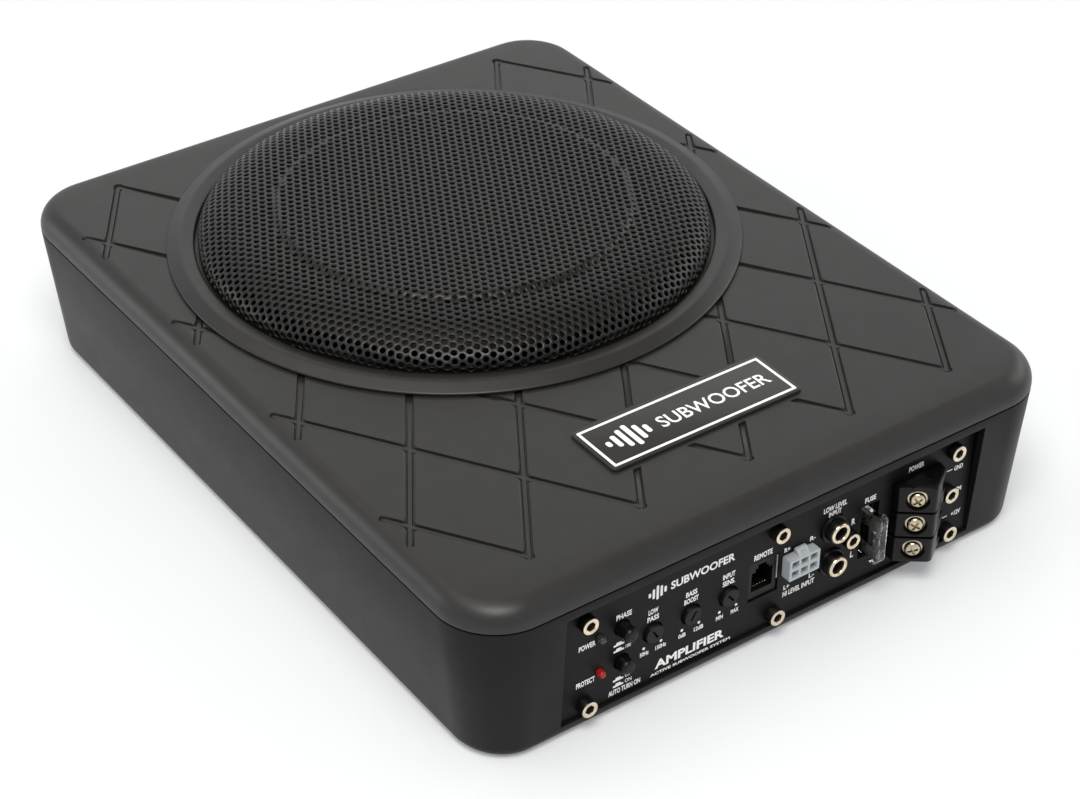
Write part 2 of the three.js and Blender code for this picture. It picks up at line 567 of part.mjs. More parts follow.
// ---- fuse ---------------------------------------------------------------------------------------
const FUSE_BODY_BACK = -163.6;
function fuseHolder() {
  const { left, right, bottom, top } = FUSE_SLOT;
  const body = block([left - 1, SOCKET_FRONT, bottom - 1], [right + 1, SWITCH_BACK, top + 1]);
  const [halfX, halfZ] = [FUSE.width / 2 + 0.4, FUSE.height / 2 + 0.4];
  const well = block(
    [FUSE.x - halfX, SOCKET_FRONT - 1, FUSE.z - halfZ],
    [FUSE.x + halfX, SWITCH_BACK - 2, FUSE.z + halfZ],
  );
  return cutBy(body, well);
}
addPiece('fuse_holder', fuseHolder(), BLACK);

function bladeFuse() {
  const [halfX, halfZ] = [FUSE.width / 2, FUSE.height / 2];
  const body = block(
    [FUSE.x - halfX, PANEL_FRONT_Y - FUSE.proud, FUSE.z - halfZ], [FUSE.x + halfX, FUSE_BODY_BACK, FUSE.z + halfZ],
  );
  const blades = [-1, 1].map((side) => {
    const z = FUSE.z + side * 6.9;
    return block([FUSE.x - 0.35, FUSE_BODY_BACK - 1, z - 2.6], [FUSE.x + 0.35, FUSE_BODY_BACK + 6.5, z + 2.6]);
  });
  return joined(body, ...blades);
}
addPiece('blade_fuse', bladeFuse(), { color: 0xb9bcbb, roughness: 0.25, metalness: 0 });

// ---- power terminals ----------------------------------------------------------------------------
// In plan the block is a wedge: the screws are on its left slope and the wires enter on its right.
const WEDGE = {
  leftFoot: [56.1, PANEL_FRONT_Y - 4],
  nose: [67.5, PANEL_FRONT_Y - 13],
  rightFoot: [79, PANEL_FRONT_Y - 5],
};
const slope = new THREE.Vector2(WEDGE.nose[0] - WEDGE.leftFoot[0], WEDGE.nose[1] - WEDGE.leftFoot[1]).normalize();
const screwAxis = new THREE.Vector3(slope.y, -slope.x, 0); // out of the left slope
const slopeMiddle = [0, 1].map((axis) => (WEDGE.leftFoot[axis] + WEDGE.nose[axis]) / 2);
const TERMINAL_HEAD = { radius: 4.1, height: 1.8, pocketRadius: 4.6, pocketDepth: 2 };
const terminalTop = TERMINALS.bottom + TERMINALS.cell * TERMINALS.count;
const cellCentre = (i) => TERMINALS.bottom + TERMINALS.cell * (i + 0.5);

function onSlope(solid, z, out) {
  const turn = new THREE.Matrix4().makeRotationFromQuaternion(
    new THREE.Quaternion().setFromUnitVectors(new THREE.Vector3(0, 0, 1), screwAxis),
  );
  const geometry = toGeometry(solid);
  geometry.applyMatrix4(turn);
  geometry.translate(slopeMiddle[0] + screwAxis.x * out, slopeMiddle[1] + screwAxis.y * out, z);
  return toSolid(geometry);
}

function terminalBlock() {
  const back = PANEL_FRONT_Y - GAP;
  const plan = [
    [WEDGE.leftFoot[0], back], WEDGE.leftFoot,
    [WEDGE.nose[0] - 1.2, WEDGE.nose[1] + 0.9], WEDGE.nose, [WEDGE.nose[0] + 1.6, WEDGE.nose[1] + 0.8],
    WEDGE.rightFoot, [WEDGE.rightFoot[0] + 0.5, back],
  ];
  const shape = new THREE.Shape(plan.map(([x, y]) => new THREE.Vector2(x, y)));
  const wedge = new THREE.ExtrudeGeometry(shape, { depth: terminalTop - TERMINALS.bottom, bevelEnabled: false });
  wedge.translate(0, 0, TERMINALS.bottom);
  const { left, right, bottom, top } = TERMINAL_FOOT;
  const foot = block([left, back - 1, bottom], [right, SWITCH_BACK, top]);
  const cells = [...Array(TERMINALS.count).keys()].map(cellCentre);
  const pockets = cells.map((z) => onSlope(bar(TERMINAL_HEAD.pocketRadius, -TERMINAL_HEAD.pocketDepth, 3, 16), z, 0));
  const shanks = cells.map((z) => onSlope(bar(2.1, -8.5, 0, 12), z, 0));
  const wireWells = cells.map((z) => block([66, -175.4, z - 3.1], [WEDGE.rightFoot[0] + 5, -168.8, z + 3.1]));
  const grooves = cells.slice(1).map((z) => {
    const line = new THREE.BoxGeometry(0.9, 16, 1.2);
    return onSlope(toSolid(line), z - TERMINALS.cell / 2, 0);
  });
  const body = cutBy(joined(toSolid(wedge), foot), ...pockets, ...shanks, ...wireWells, ...grooves);
  return withLug(body, TERMINAL_FOOT.right - 1, PANEL_SCREWS[6]);
}
addPiece('power_terminal_block', terminalBlock(), BLACK);

['battery', 'remote', 'ground'].forEach((wire, i) => {
  const { radius, height, pocketDepth } = TERMINAL_HEAD;
  const solid = crossSlotted(screw(radius, height, 1.75, 6), height, 3, 0.9, 1);
  addPiece(`${wire}_terminal_screw`, onSlope(solid, cellCentre(i), GAP - pocketDepth), STEEL);
});

// ---- electronics --------------------------------------------------------------------------------
addPiece('control_board', block([-92, SWITCH_BACK + GAP, 12], [54, SWITCH_BACK + GAP + 1.6, 48]), BOARD);

const { halfWidth, front, back, bottom: boardBottom, thickness } = AMPLIFIER_BOARD;
addPiece('amplifier_board', block([-halfWidth, front, boardBottom], [halfWidth, back, boardBottom + thickness]), BOARD);
const boardTop = boardBottom + thickness + GAP;

const core = new THREE.TorusGeometry(15, 7, 8, 18);
core.translate(-62, -110, boardTop + 7);
addPiece('power_transformer', toSolid(core), { color: 0xa8602c, roughness: 0.45, metalness: 0.5 });

[-22, 2].forEach((x, i) => {
  addPiece(`filter_capacitor_${i + 1}`, bar(9, boardTop, boardTop + 31, 16, x, -110), {
    color: 0x1c2a52, roughness: 0.4, metalness: 0.1,
  });
});

function outputStage() {
  const spreader = block([28, -92, boardTop], [88, -87, boardTop + 20]);
  const packages = [0, 1, 2, 3].map((i) => block(
    [30.5 + i * 14.5, -96.4, boardTop + 3], [40.5 + i * 14.5, -91.5, boardTop + 18],
  ));
  return joined(spreader, ...packages);
}
addPiece('output_stage', outputStage(), { color: 0x2b2d30, roughness: 0.5, metalness: 0.5 });

export default subwoofer;
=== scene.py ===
"""A powered under-seat car subwoofer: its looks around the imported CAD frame.

Lengths are in millimetres until a mesh is made, in the CAD's frame: +X along the control panel, the
panel faces -Y, +Z is up and the origin is the centre of the underside.
"""
import math

import bmesh
import bpy
import numpy as np
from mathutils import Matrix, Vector
from mathutils.geometry import delaunay_2d_cdt


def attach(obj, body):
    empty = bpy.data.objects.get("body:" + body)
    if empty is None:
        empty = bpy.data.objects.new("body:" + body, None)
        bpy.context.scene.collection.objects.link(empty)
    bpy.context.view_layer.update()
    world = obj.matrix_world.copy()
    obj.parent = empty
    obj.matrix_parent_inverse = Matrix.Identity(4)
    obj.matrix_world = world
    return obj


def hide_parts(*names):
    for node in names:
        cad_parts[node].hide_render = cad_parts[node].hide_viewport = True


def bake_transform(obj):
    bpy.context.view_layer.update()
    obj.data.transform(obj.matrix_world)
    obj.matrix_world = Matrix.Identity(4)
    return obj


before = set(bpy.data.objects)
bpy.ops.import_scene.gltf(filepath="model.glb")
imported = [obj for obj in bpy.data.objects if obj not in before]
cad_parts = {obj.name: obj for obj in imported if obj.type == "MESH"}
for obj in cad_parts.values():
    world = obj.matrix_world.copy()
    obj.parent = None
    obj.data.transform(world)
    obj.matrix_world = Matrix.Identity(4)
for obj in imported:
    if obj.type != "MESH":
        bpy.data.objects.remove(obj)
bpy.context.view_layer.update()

MM = 0.001

# ---- dimensions shared by several pieces ----
HALF_X, HALF_Y, CORNER = 135.0, 172.5, 25.0
SEAM_Z, COVER_Z, SEAM_GAP = 61.5, 71.5, 0.5
SIDE_TAPER, END_TAPER, WALL = 6.0, 4.0, 3.0
ROLL = 8.5
SPEAKER = (0.0, 42.5)
RING_OUTER = 118.5
PANEL_Y, PANEL_BACK = -167.5, -165.5
RECESS = {"half": 97.5, "bottom": 6.1, "top": 57.6}


# ---- materials ----
class Look:
    """A material with a Principled shader, and short calls for the procedural nodes that drive it."""

    def __init__(self, name, color, roughness, metallic=0.0, specular=0.5):
        self.material = bpy.data.materials.new(name)
        self.material.use_nodes = True
        self.nodes = self.material.node_tree.nodes
        self.links = self.material.node_tree.links
        self.shader = self.nodes["Principled BSDF"]
        self.color = color
        self.set("Base Color", (*color, 1.0))
        self.set("Roughness", roughness)
        self.set("Metallic", metallic)
        self.set("Specular IOR Level", specular)
        self.roughness = roughness
        self.place = self.nodes.new("ShaderNodeTexCoord").outputs["Object"]
        self.height = None

    def set(self, socket, value):
        self.shader.inputs[socket].default_value = value

    def noise(self, size_mm, detail=2.0, distortion=0.0):
        """Noise with features of about this size."""
        node = self.nodes.new("ShaderNodeTexNoise")
        node.inputs["Scale"].default_value = 1.0 / (size_mm * MM)
        node.inputs["Detail"].default_value = detail
        node.inputs["Distortion"].default_value = distortion
        self.links.new(self.place, node.inputs["Vector"])
        return node.outputs["Fac"]

    def cells(self, size_mm):
        node = self.nodes.new("ShaderNodeTexVoronoi")
        node.inputs["Scale"].default_value = 1.0 / (size_mm * MM)
        self.links.new(self.place, node.inputs["Vector"])
        return node.outputs["Distance"]

    def band(self, value, low, high, to_low, to_high):
        node = self.nodes.new("ShaderNodeMapRange")
        for socket, number in zip(("From Min", "From Max", "To Min", "To Max"), (low, high, to_low, to_high)):
            node.inputs[socket].default_value = number
        self.links.new(value, node.inputs["Value"])
        return node.outputs["Result"]

    def vary_roughness(self, value, spread):
        result = self.band(value, 0.3, 0.7, self.roughness - spread, self.roughness + spread)
        self.links.new(result, self.shader.inputs["Roughness"])

    def vary_color(self, value, other, low=0.35, high=0.65):
        ramp = self.nodes.new("ShaderNodeValToRGB")
        for stop, position, color in zip(ramp.color_ramp.elements, (low, high), (self.color, other)):
            stop.position, stop.color = position, (*color, 1.0)
        self.links.new(value, ramp.inputs["Fac"])
        self.links.new(ramp.outputs["Color"], self.shader.inputs["Base Color"])

    def bump(self, value, depth_mm):
        """Adds a bump of this depth on top of any earlier one."""
        node = self.nodes.new("ShaderNodeBump")
        node.inputs["Distance"].default_value = depth_mm * MM
        node.inputs["Strength"].default_value = 1.0
        self.links.new(value, node.inputs["Height"])
        if self.height:
            self.links.new(self.height, node.inputs["Normal"])
        self.height = node.outputs["Normal"]
        self.links.new(self.height, self.shader.inputs["Normal"])


def moulded(name, color, roughness, specular, grain_mm=0.35, depth_mm=0.012, lighter=1.25):
    """Satin plastic or paint: a fine even grain, with slow cloudy changes of gloss and tone."""
    look = Look(name, color, roughness, 0.0, specular)
    look.vary_roughness(look.noise(12, 6, distortion=0.6), 0.02)
    look.vary_color(look.noise(9, 6), tuple(c * lighter for c in color), 0.3, 0.7)
    look.bump(look.noise(grain_mm, 3), depth_mm)
    return look.material


def metal(name, color, roughness, scratch=0.08):
    look = Look(name, color, roughness, 1.0)
    look.vary_roughness(look.noise(1.2, 3), scratch)
    look.vary_color(look.noise(2.5, 4), tuple(c * 0.82 for c in color))
    look.bump(look.noise(0.25, 2), 0.006)
    return look.material


cover_look = moulded("satin_cover", (0.0110, 0.0106, 0.0102), 0.42, 0.44, 0.45, 0.014)
wall_look = moulded("satin_enclosure", (0.0065, 0.0062, 0.0059), 0.42, 0.16, 0.4, 0.012)
panel_look = moulded("panel_paint", (0.0042, 0.0041, 0.0040), 0.46, 0.14, 0.28, 0.016)
ring_look = moulded("satin_ring", (0.0110, 0.0106, 0.0102), 0.38, 0.42, 0.45, 0.012)
grille_look = moulded("grille_paint", (0.0046, 0.0041, 0.0037), 0.33, 0.33, 0.3, 0.012)
black_look = moulded("black_plastic", (0.0022, 0.0022, 0.0022), 0.34, 0.24, 0.3, 0.010)
# Near-black painted shade, laid in the gaps, hollows and socket floors below where shade falls.
painted_shade_look = moulded("painted_shade_black", (0.0012, 0.0012, 0.0012), 0.75, 0.1, 0.5, 0.01)
# Dark grey: the knobs' own grey, and a painted highlight on the lit ends of the black buttons and on the terminal
# block's top.
grey_and_painted_highlight_look = moulded("grey_knob_and_painted_highlight", (0.0030, 0.0030, 0.0030), 0.40, 0.24, 0.25, 0.012)
basket_look = moulded("basket_paint", (0.006, 0.006, 0.006), 0.5, 0.4, 0.8, 0.02)
white_look = moulded("white_nylon", (0.36, 0.39, 0.41), 0.42, 0.5, 0.6, 0.010, 1.08)
ink_look = moulded("white_ink", (0.80, 0.80, 0.78), 0.5, 0.4, 0.15, 0.004, 1.05)
rubber_look = moulded("surround_rubber", (0.0035, 0.0035, 0.0035), 0.55, 0.35, 0.9, 0.03)

champagne_look = metal("champagne_plating", (0.86, 0.74, 0.56), 0.22, 0.06)
# Dark metal: on the panel screws' sides it is a painted reflection of the dark panel in their plating; the driver's
# screws are dark metal too.
dark_metal_and_painted_reflection_look = metal("dark_metal_and_painted_reflection", (0.045, 0.042, 0.040), 0.42, 0.08)
brass_look = metal("terminal_brass", (0.62, 0.54, 0.40), 0.24, 0.08)
steel_look = metal("plated_steel", (0.42, 0.41, 0.39), 0.32, 0.10)
copper_look = metal("copper_wire", (0.55, 0.24, 0.11), 0.35, 0.08)


def paper_cone():
    look = Look("paper_cone", (0.010, 0.010, 0.0105), 0.7, 0.0, 0.3)
    look.vary_color(look.noise(3.0, 6, distortion=1.5), (0.018, 0.018, 0.0185))
    look.vary_roughness(look.noise(6.0, 3), 0.08)
    look.bump(look.noise(1.1, 6, distortion=2.0), 0.08)
    return look.material


def woven(name, color):
    look = Look(name, color, 0.85, 0.0, 0.3)
    look.vary_color(look.cells(0.7), tuple(c * 0.6 for c in color), 0.2, 0.7)
    look.bump(look.cells(0.7), 0.12)
    return look.material


def clear_plastic(name, color, roughness, transmission):
    look = Look(name, color, roughness, 0.0, 0.5)
    look.set("Transmission Weight", transmission)
    look.set("IOR", 1.45)
    look.vary_roughness(look.noise(1.6, 4), 0.03)
    look.vary_color(look.noise(1.4, 5), tuple(c * 0.88 for c in color))
    look.bump(look.noise(1.2, 2), 0.015)
    return look.material


def circuit_board():
    look = Look("circuit_board", (0.010, 0.055, 0.022), 0.35, 0.0, 0.5)
    look.vary_color(look.cells(2.2), (0.02, 0.10, 0.045), 0.25, 0.45)
    look.bump(look.cells(2.2), 0.03)
    return look.material


cone_look = paper_cone()
spider_look = woven("woven_spider", (0.30, 0.20, 0.08))
fuse_look = clear_plastic("fuse_clear", (0.90, 0.92, 0.93), 0.03, 1.0)
red_lamp_look = clear_plastic("red_lamp_lens", (0.50, 0.014, 0.008), 0.15, 0.35)
dark_lamp_look = clear_plastic("dark_lamp_lens", (0.08, 0.085, 0.08), 0.15, 0.5)
board_look = circuit_board()


# ---- building meshes ----
def on_speaker(point):
    """Moves a piece drawn round the origin to the speaker's axis."""
    return (point[0] + SPEAKER[0], point[1] + SPEAKER[1], point[2])


def out_of_panel(x, z, y=PANEL_Y):
    """Places a piece drawn round +Z so that it points out of the panel at (x, z)."""
    return lambda point: (x + point[0], y - point[2], z + point[1])


def turned(place, degrees):
    """The same place, with the piece first turned round its own +Z."""
    c, s = math.cos(math.radians(degrees)), math.sin(math.radians(degrees))
    return lambda point: place((point[0] * c - point[1] * s, point[0] * s + point[1] * c, point[2]))


class Shape:
    """A mesh in the making. Every call adds faces; piece() turns them into an object that rides a body."""

    def __init__(self):
        self.bm = bmesh.new()

    def points(self, coordinates, place=None):
        if place:
            coordinates = [place(c) for c in coordinates]
        return [self.bm.verts.new(tuple(v * MM for v in c)) for c in coordinates]

    def skin(self, rings, around=True):
        """Quads between rings of vertices; a ring of one vertex closes the shape in a fan."""
        for a, b in zip(rings, rings[1:]):
            count = max(len(a), len(b))
            for i in range(count if around else count - 1):
                j = (i + 1) % count
                corners = [a[i % len(a)], a[j % len(a)], b[j % len(b)], b[i % len(b)]]
                distinct = list(dict.fromkeys(corners))
                if len(distinct) > 2:
                    self.bm.faces.new(distinct)

    def loft(self, loops, place=None, start=True, end=True, closed=False):
        rings = [self.points(loop, place) for loop in loops]
        self.skin(rings + rings[:1] if closed else rings)
        if start and not closed:
            self.bm.faces.new(rings[0][::-1])
        if end and not closed:
            self.bm.faces.new(rings[-1])
        return self

    def lathe(self, profile, sides=64, place=None, closed=False, first=0.0, last=360.0):
        """Turns a profile of (radius, height) points round Z, all the way or from first to last degrees."""
        whole = abs(last - first - 360.0) < 1e-6
        count = sides if whole else sides + 1
        turns = [math.radians(first + (last - first) * i / sides) for i in range(count)]
        rings = []
        for radius, height in profile:
            if radius < 1e-6:
                rings.append(self.points([(0.0, 0.0, height)], place))
            else:
                rings.append(self.points([(radius * math.cos(t), radius * math.sin(t), height) for t in turns], place))
        self.skin(rings + rings[:1] if closed else rings, around=whole)
        return self

    def box(self, low, high, place=None):
        """A block between two opposite corners."""
        (x0, y0, z0), (x1, y1, z1) = low, high
        lower = [(x0, y0, z0), (x1, y0, z0), (x1, y1, z0), (x0, y1, z0)]
        return self.loft([lower, [(x, y, z1) for x, y, _ in lower]], place)

    def piece(self, name, material, body="housing", stands_for=None, slot=None, bevel=0.0, sharp=35, solid=True):
        """Ends the shape. Without solid, the faces keep the directions that they were made in."""
        if solid:
            bmesh.ops.recalc_face_normals(self.bm, faces=self.bm.faces)
        mesh = bpy.data.meshes.new(name)
        self.bm.to_mesh(mesh)
        self.bm.free()
        mesh.materials.append(material)
        obj = bpy.data.objects.new(name, mesh)
        bpy.context.scene.collection.objects.link(obj)
        smooth(obj, sharp)
        if bevel:
            add_bevel(obj, bevel)
        return hand_over(obj, body, stands_for, slot)


def hand_over(obj, body, node, slot):
    """Hangs a piece under its body's empty and hides the CAD node that it replaces; the slot is not used."""
    if body:
        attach(obj, body)
    if node:
        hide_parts(node)
    return obj


def smooth(obj, sharp):
    obj.data.polygons.foreach_set("use_smooth", [True] * len(obj.data.polygons))
    obj.data.set_sharp_from_angle(angle=math.radians(sharp))


def add_bevel(obj, width, limit=40):
    bevel = obj.modifiers.new("soft_edges", "BEVEL")
    bevel.width = width * MM
    bevel.segments = 2
    bevel.limit_method = "ANGLE"
    bevel.angle_limit = math.radians(limit)
    bevel.harden_normals = True
    bevel.use_clamp_overlap = True


def cut(obj, shape, sharp=35):
    """Cuts a shape out of obj, exactly."""
    tool = shape.piece("tool", painted_shade_look, body=None)
    boolean = obj.modifiers.new("cut", "BOOLEAN")
    boolean.operation = "DIFFERENCE"
    boolean.solver = "EXACT"
    boolean.object = tool
    graph = bpy.context.evaluated_depsgraph_get()
    made = bpy.data.meshes.new_from_object(obj.evaluated_get(graph))
    obj.modifiers.remove(boolean)
    obj.data = made
    bpy.data.objects.remove(tool)
    smooth(obj, sharp)


def plate(shape, outline, holes, front, back, place):
    """A flat sheet with holes: outline and holes are loops of (u, v), and front and back are its two levels."""
    loops = [outline, *holes]
    flat, edges = [], []
    for loop in loops:
        first = len(flat)
        flat += [Vector(p) for p in loop]
        edges += [(first + i, first + (i + 1) % len(loop)) for i in range(len(loop))]
    points, _, faces, *_ = delaunay_2d_cdt(flat, edges, [], 1, 1e-5, False)

    def kept(face):
        centre = sum((points[i] for i in face), Vector((0, 0))) / len(face)
        return inside(centre, outline) and not any(inside(centre, hole) for hole in holes)

    faces = [f for f in faces if kept(f)]
    upper = shape.points([(p.x, p.y, front) for p in points], place)
    lower = shape.points([(p.x, p.y, back) for p in points], place)
    borders = {}
    for face in faces:
        shape.bm.faces.new([upper[i] for i in face])
        shape.bm.faces.new([lower[i] for i in reversed(face)])
        for a, b in zip(face, (*face[1:], face[0])):
            borders[(a, b)] = borders.get((a, b), 0) + 1
    for a, b in borders:
        if (b, a) not in borders:
            shape.bm.faces.new([upper[b], upper[a], lower[a], lower[b]])
    bmesh.ops.delete(shape.bm, geom=[v for v in shape.bm.verts if not v.link_faces], context="VERTS")
    return shape


def inside(point, loop):
    x, y = point
    found = False
    for (ax, ay), (bx, by) in zip(loop, (*loop[1:], loop[0])):
        if (ay > y) != (by > y) and x < (bx - ax) * (y - ay) / (by - ay) + ax:
            found = not found
    return found


def circle(x, y, radius, sides=40, first=0.0):
    angles = [math.tau * i / sides + math.radians(first) for i in range(sides)]
    return [(x + radius * math.cos(a), y + radius * math.sin(a)) for a in angles]


def rectangle(left, right, bottom, top, radius=0.0, steps=5):
    if not radius:
        return [(left, bottom), (right, bottom), (right, top), (left, top)]
    corners = ((right, bottom, -90), (right, top, 0), (left, top, 90), (left, bottom, 180))
    loop = []
    for x, y, turn in corners:
        cx = x - math.copysign(radius, x - (left + right) / 2)
        cy = y - math.copysign(radius, y - (bottom + top) / 2)
        for i in range(steps + 1):
            angle = math.radians(turn + 90 * i / steps)
            loop.append((cx + radius * math.cos(angle), cy + radius * math.sin(angle)))
    return loop


# ---- the body's outline ----
def body_loop(z, inset_x, inset_y=None):
    """The body's rounded outline at one height, drawn in by an inset."""
    inset_y = inset_x if inset_y is None else inset_y
    steps = 16
    loop = []
    for side_x, side_y, turn in ((1, -1, -90), (1, 1, 0), (-1, 1, 90), (-1, -1, 180)):
        for i in range(steps + 1):
            angle = math.radians(turn + 90 * i / steps)
            loop.append((
                side_x * (HALF_X - CORNER) + math.cos(angle) * (CORNER - inset_x),
                side_y * (HALF_Y - CORNER) + math.sin(angle) * (CORNER - inset_y),
                z,
            ))
    return loop


def wall_loop(z, further=0.0):
    share = max(0.0, 1 - z / SEAM_Z)
    return body_loop(z, SIDE_TAPER * share + further, END_TAPER * share + further)


# ---- enclosure ----
def make_enclosure():
    radius = 5.0
    loops = []
    for angle in range(0, 91, 15):
        turn = math.radians(angle)
        loops.append(wall_loop(radius * (1 - math.cos(turn)), radius * (1 - math.sin(turn))))
    loops += [wall_loop(30), wall_loop(SEAM_Z - 0.6), wall_loop(SEAM_Z - 0.18, 0.17), wall_loop(SEAM_Z, 0.6)]
    loops += [wall_loop(SEAM_Z, WALL), wall_loop(WALL + 3, WALL), wall_loop(WALL, WALL + 2)]
    shell = Shape().loft(loops).piece("enclosure_shell", wall_look, body=None, sharp=40)
    opening = Shape().box(
        (-RECESS["half"], -HALF_Y - 20, RECESS["bottom"]), (RECESS["half"], -HALF_Y + 20, RECESS["top"]))
    cut(shell, opening, 40)
    for x in (-118, 118):
        for y in (-155.5, 155.5):
            bore = Shape().lathe([(0, -1), (4, -1), (4, 4.4), (0, 4.4)], 32, lambda p: (p[0] + x, p[1] + y, p[2]))
            cut(shell, bore, 40)
    add_bevel(shell, 0.5, 60)
    hand_over(shell, "housing", "enclosure", "satin_black_metal")

    half, low, high = RECESS["half"], RECESS["bottom"], RECESS["top"]
    ledge = PANEL_BACK + 0.3

    def frame_loop(y, half_width, bottom, top):
        return [(x, y, z) for x, z in rectangle(-half_width, half_width, bottom, top)]

    # A near-black frame in the gap round the panel: painted shade where the recess's edges fall into shadow.
    shade_frame = Shape().loft([
        frame_loop(-168.4, half + 2.6, low - 2.6, high + 2.6), frame_loop(ledge + 3, half + 2.6, low - 2.6, high + 2.6),
        frame_loop(ledge + 3, 92.5, 13.4, 46.6), frame_loop(ledge, 92.5, 13.4, 46.6),
        frame_loop(ledge, half + 0.02, low - 0.02, high + 0.02),
        frame_loop(-168.4, half + 0.02, low - 0.02, high + 0.02),
    ], closed=True)
    shade_frame.piece("recess_shade_frame", painted_shade_look, slot="satin_black_metal")


make_enclosure()


# ---- top cover, with its lattice of grooves ----
GROOVE = {"pitch_x": 24.33, "pitch_y": 37.92, "first_y": -149.3, "rows": 8, "half": 1.45, "depth": 1.15,
          "floor": 0.6, "reach": 127.3}
PAD = {"x": -1.0, "y": -114.7, "half_x": 46.4, "half_y": 16.0}
TILE_CORNER = 1.5


def groove_lines():
    """The lattice's lines as pairs of end points, cut short where the cover's edge starts to roll over."""
    lines = []
    last_y = GROOVE["first_y"] + GROOVE["rows"] * GROOVE["pitch_y"]
    slope = GROOVE["pitch_y"] / GROOVE["pitch_x"]
    for i in range(-14, 15, 2):
        for lean in (1, -1):
            x0 = i * GROOVE["pitch_x"]
            x1 = x0 + lean * GROOVE["rows"] * GROOVE["pitch_x"]
            ends = []
            for x, y in ((x0, GROOVE["first_y"]), (x1, last_y)):
                kept_x = min(max(x, -GROOVE["reach"]), GROOVE["reach"])
                ends.append((kept_x, y + (kept_x - x) * lean * slope))
            (ax, ay), (bx, by) = ends
            if (bx - ax) * lean > 4 and ay < by:
                lines.append(((ax, ay), (bx, by)))
    return lines


LINES = groove_lines()


def segment_distance(px, py, line):
    (ax, ay), (bx, by) = line
    dx, dy = bx - ax, by - ay
    t = np.clip(((px - ax) * dx + (py - ay) * dy) / (dx * dx + dy * dy), 0, 1)
    return np.hypot(px - ax - t * dx, py - ay - t * dy)


def groove_depth(px, py):
    """How far the surface is sunk: deepest along a groove's two edges, none on a tile or the badge's pad."""
    nearest = np.full(px.shape, 1e3)
    second = np.full(px.shape, 1e3)
    for line in LINES:
        d = segment_distance(px, py, line)
        second = np.minimum(second, np.maximum(nearest, d))
        nearest = np.minimum(nearest, d)
    over = [np.maximum(TILE_CORNER + GROOVE["half"] - d, 0) for d in (nearest, second)]
    edge = nearest - GROOVE["half"]
    edge = np.where(edge < 0, edge, np.minimum(TILE_CORNER - np.hypot(*over), edge))
    pad = np.maximum(np.abs(px - PAD["x"]) - PAD["half_x"], np.abs(py - PAD["y"]) - PAD["half_y"])
    behind = (py > 140) & (np.abs(px) < 60)
    ring = np.hypot(px - SPEAKER[0], py - SPEAKER[1]) - RING_OUTER + np.where(behind, -7, 3)
    edge = np.maximum(edge, -np.minimum(pad, ring))
    return np.interp(-edge, (-0.1, 0.1, 0.4, 0.7), (0.0, GROOVE["depth"], GROOVE["depth"], GROOVE["floor"]))


def outline_distance(px, py):
    """Distance in from the body's outline."""
    qx = np.abs(px) - (HALF_X - CORNER)
    qy = np.abs(py) - (HALF_Y - CORNER)
    outside = np.hypot(np.maximum(qx, 0), np.maximum(qy, 0))
    return CORNER - outside - np.minimum(np.maximum(qx, qy), 0)


def cover_height(px, py):
    into_roll = np.clip(ROLL - outline_distance(px, py), 0, ROLL)
    return COVER_Z - ROLL + np.sqrt(ROLL ** 2 - into_roll ** 2) - groove_depth(px, py)


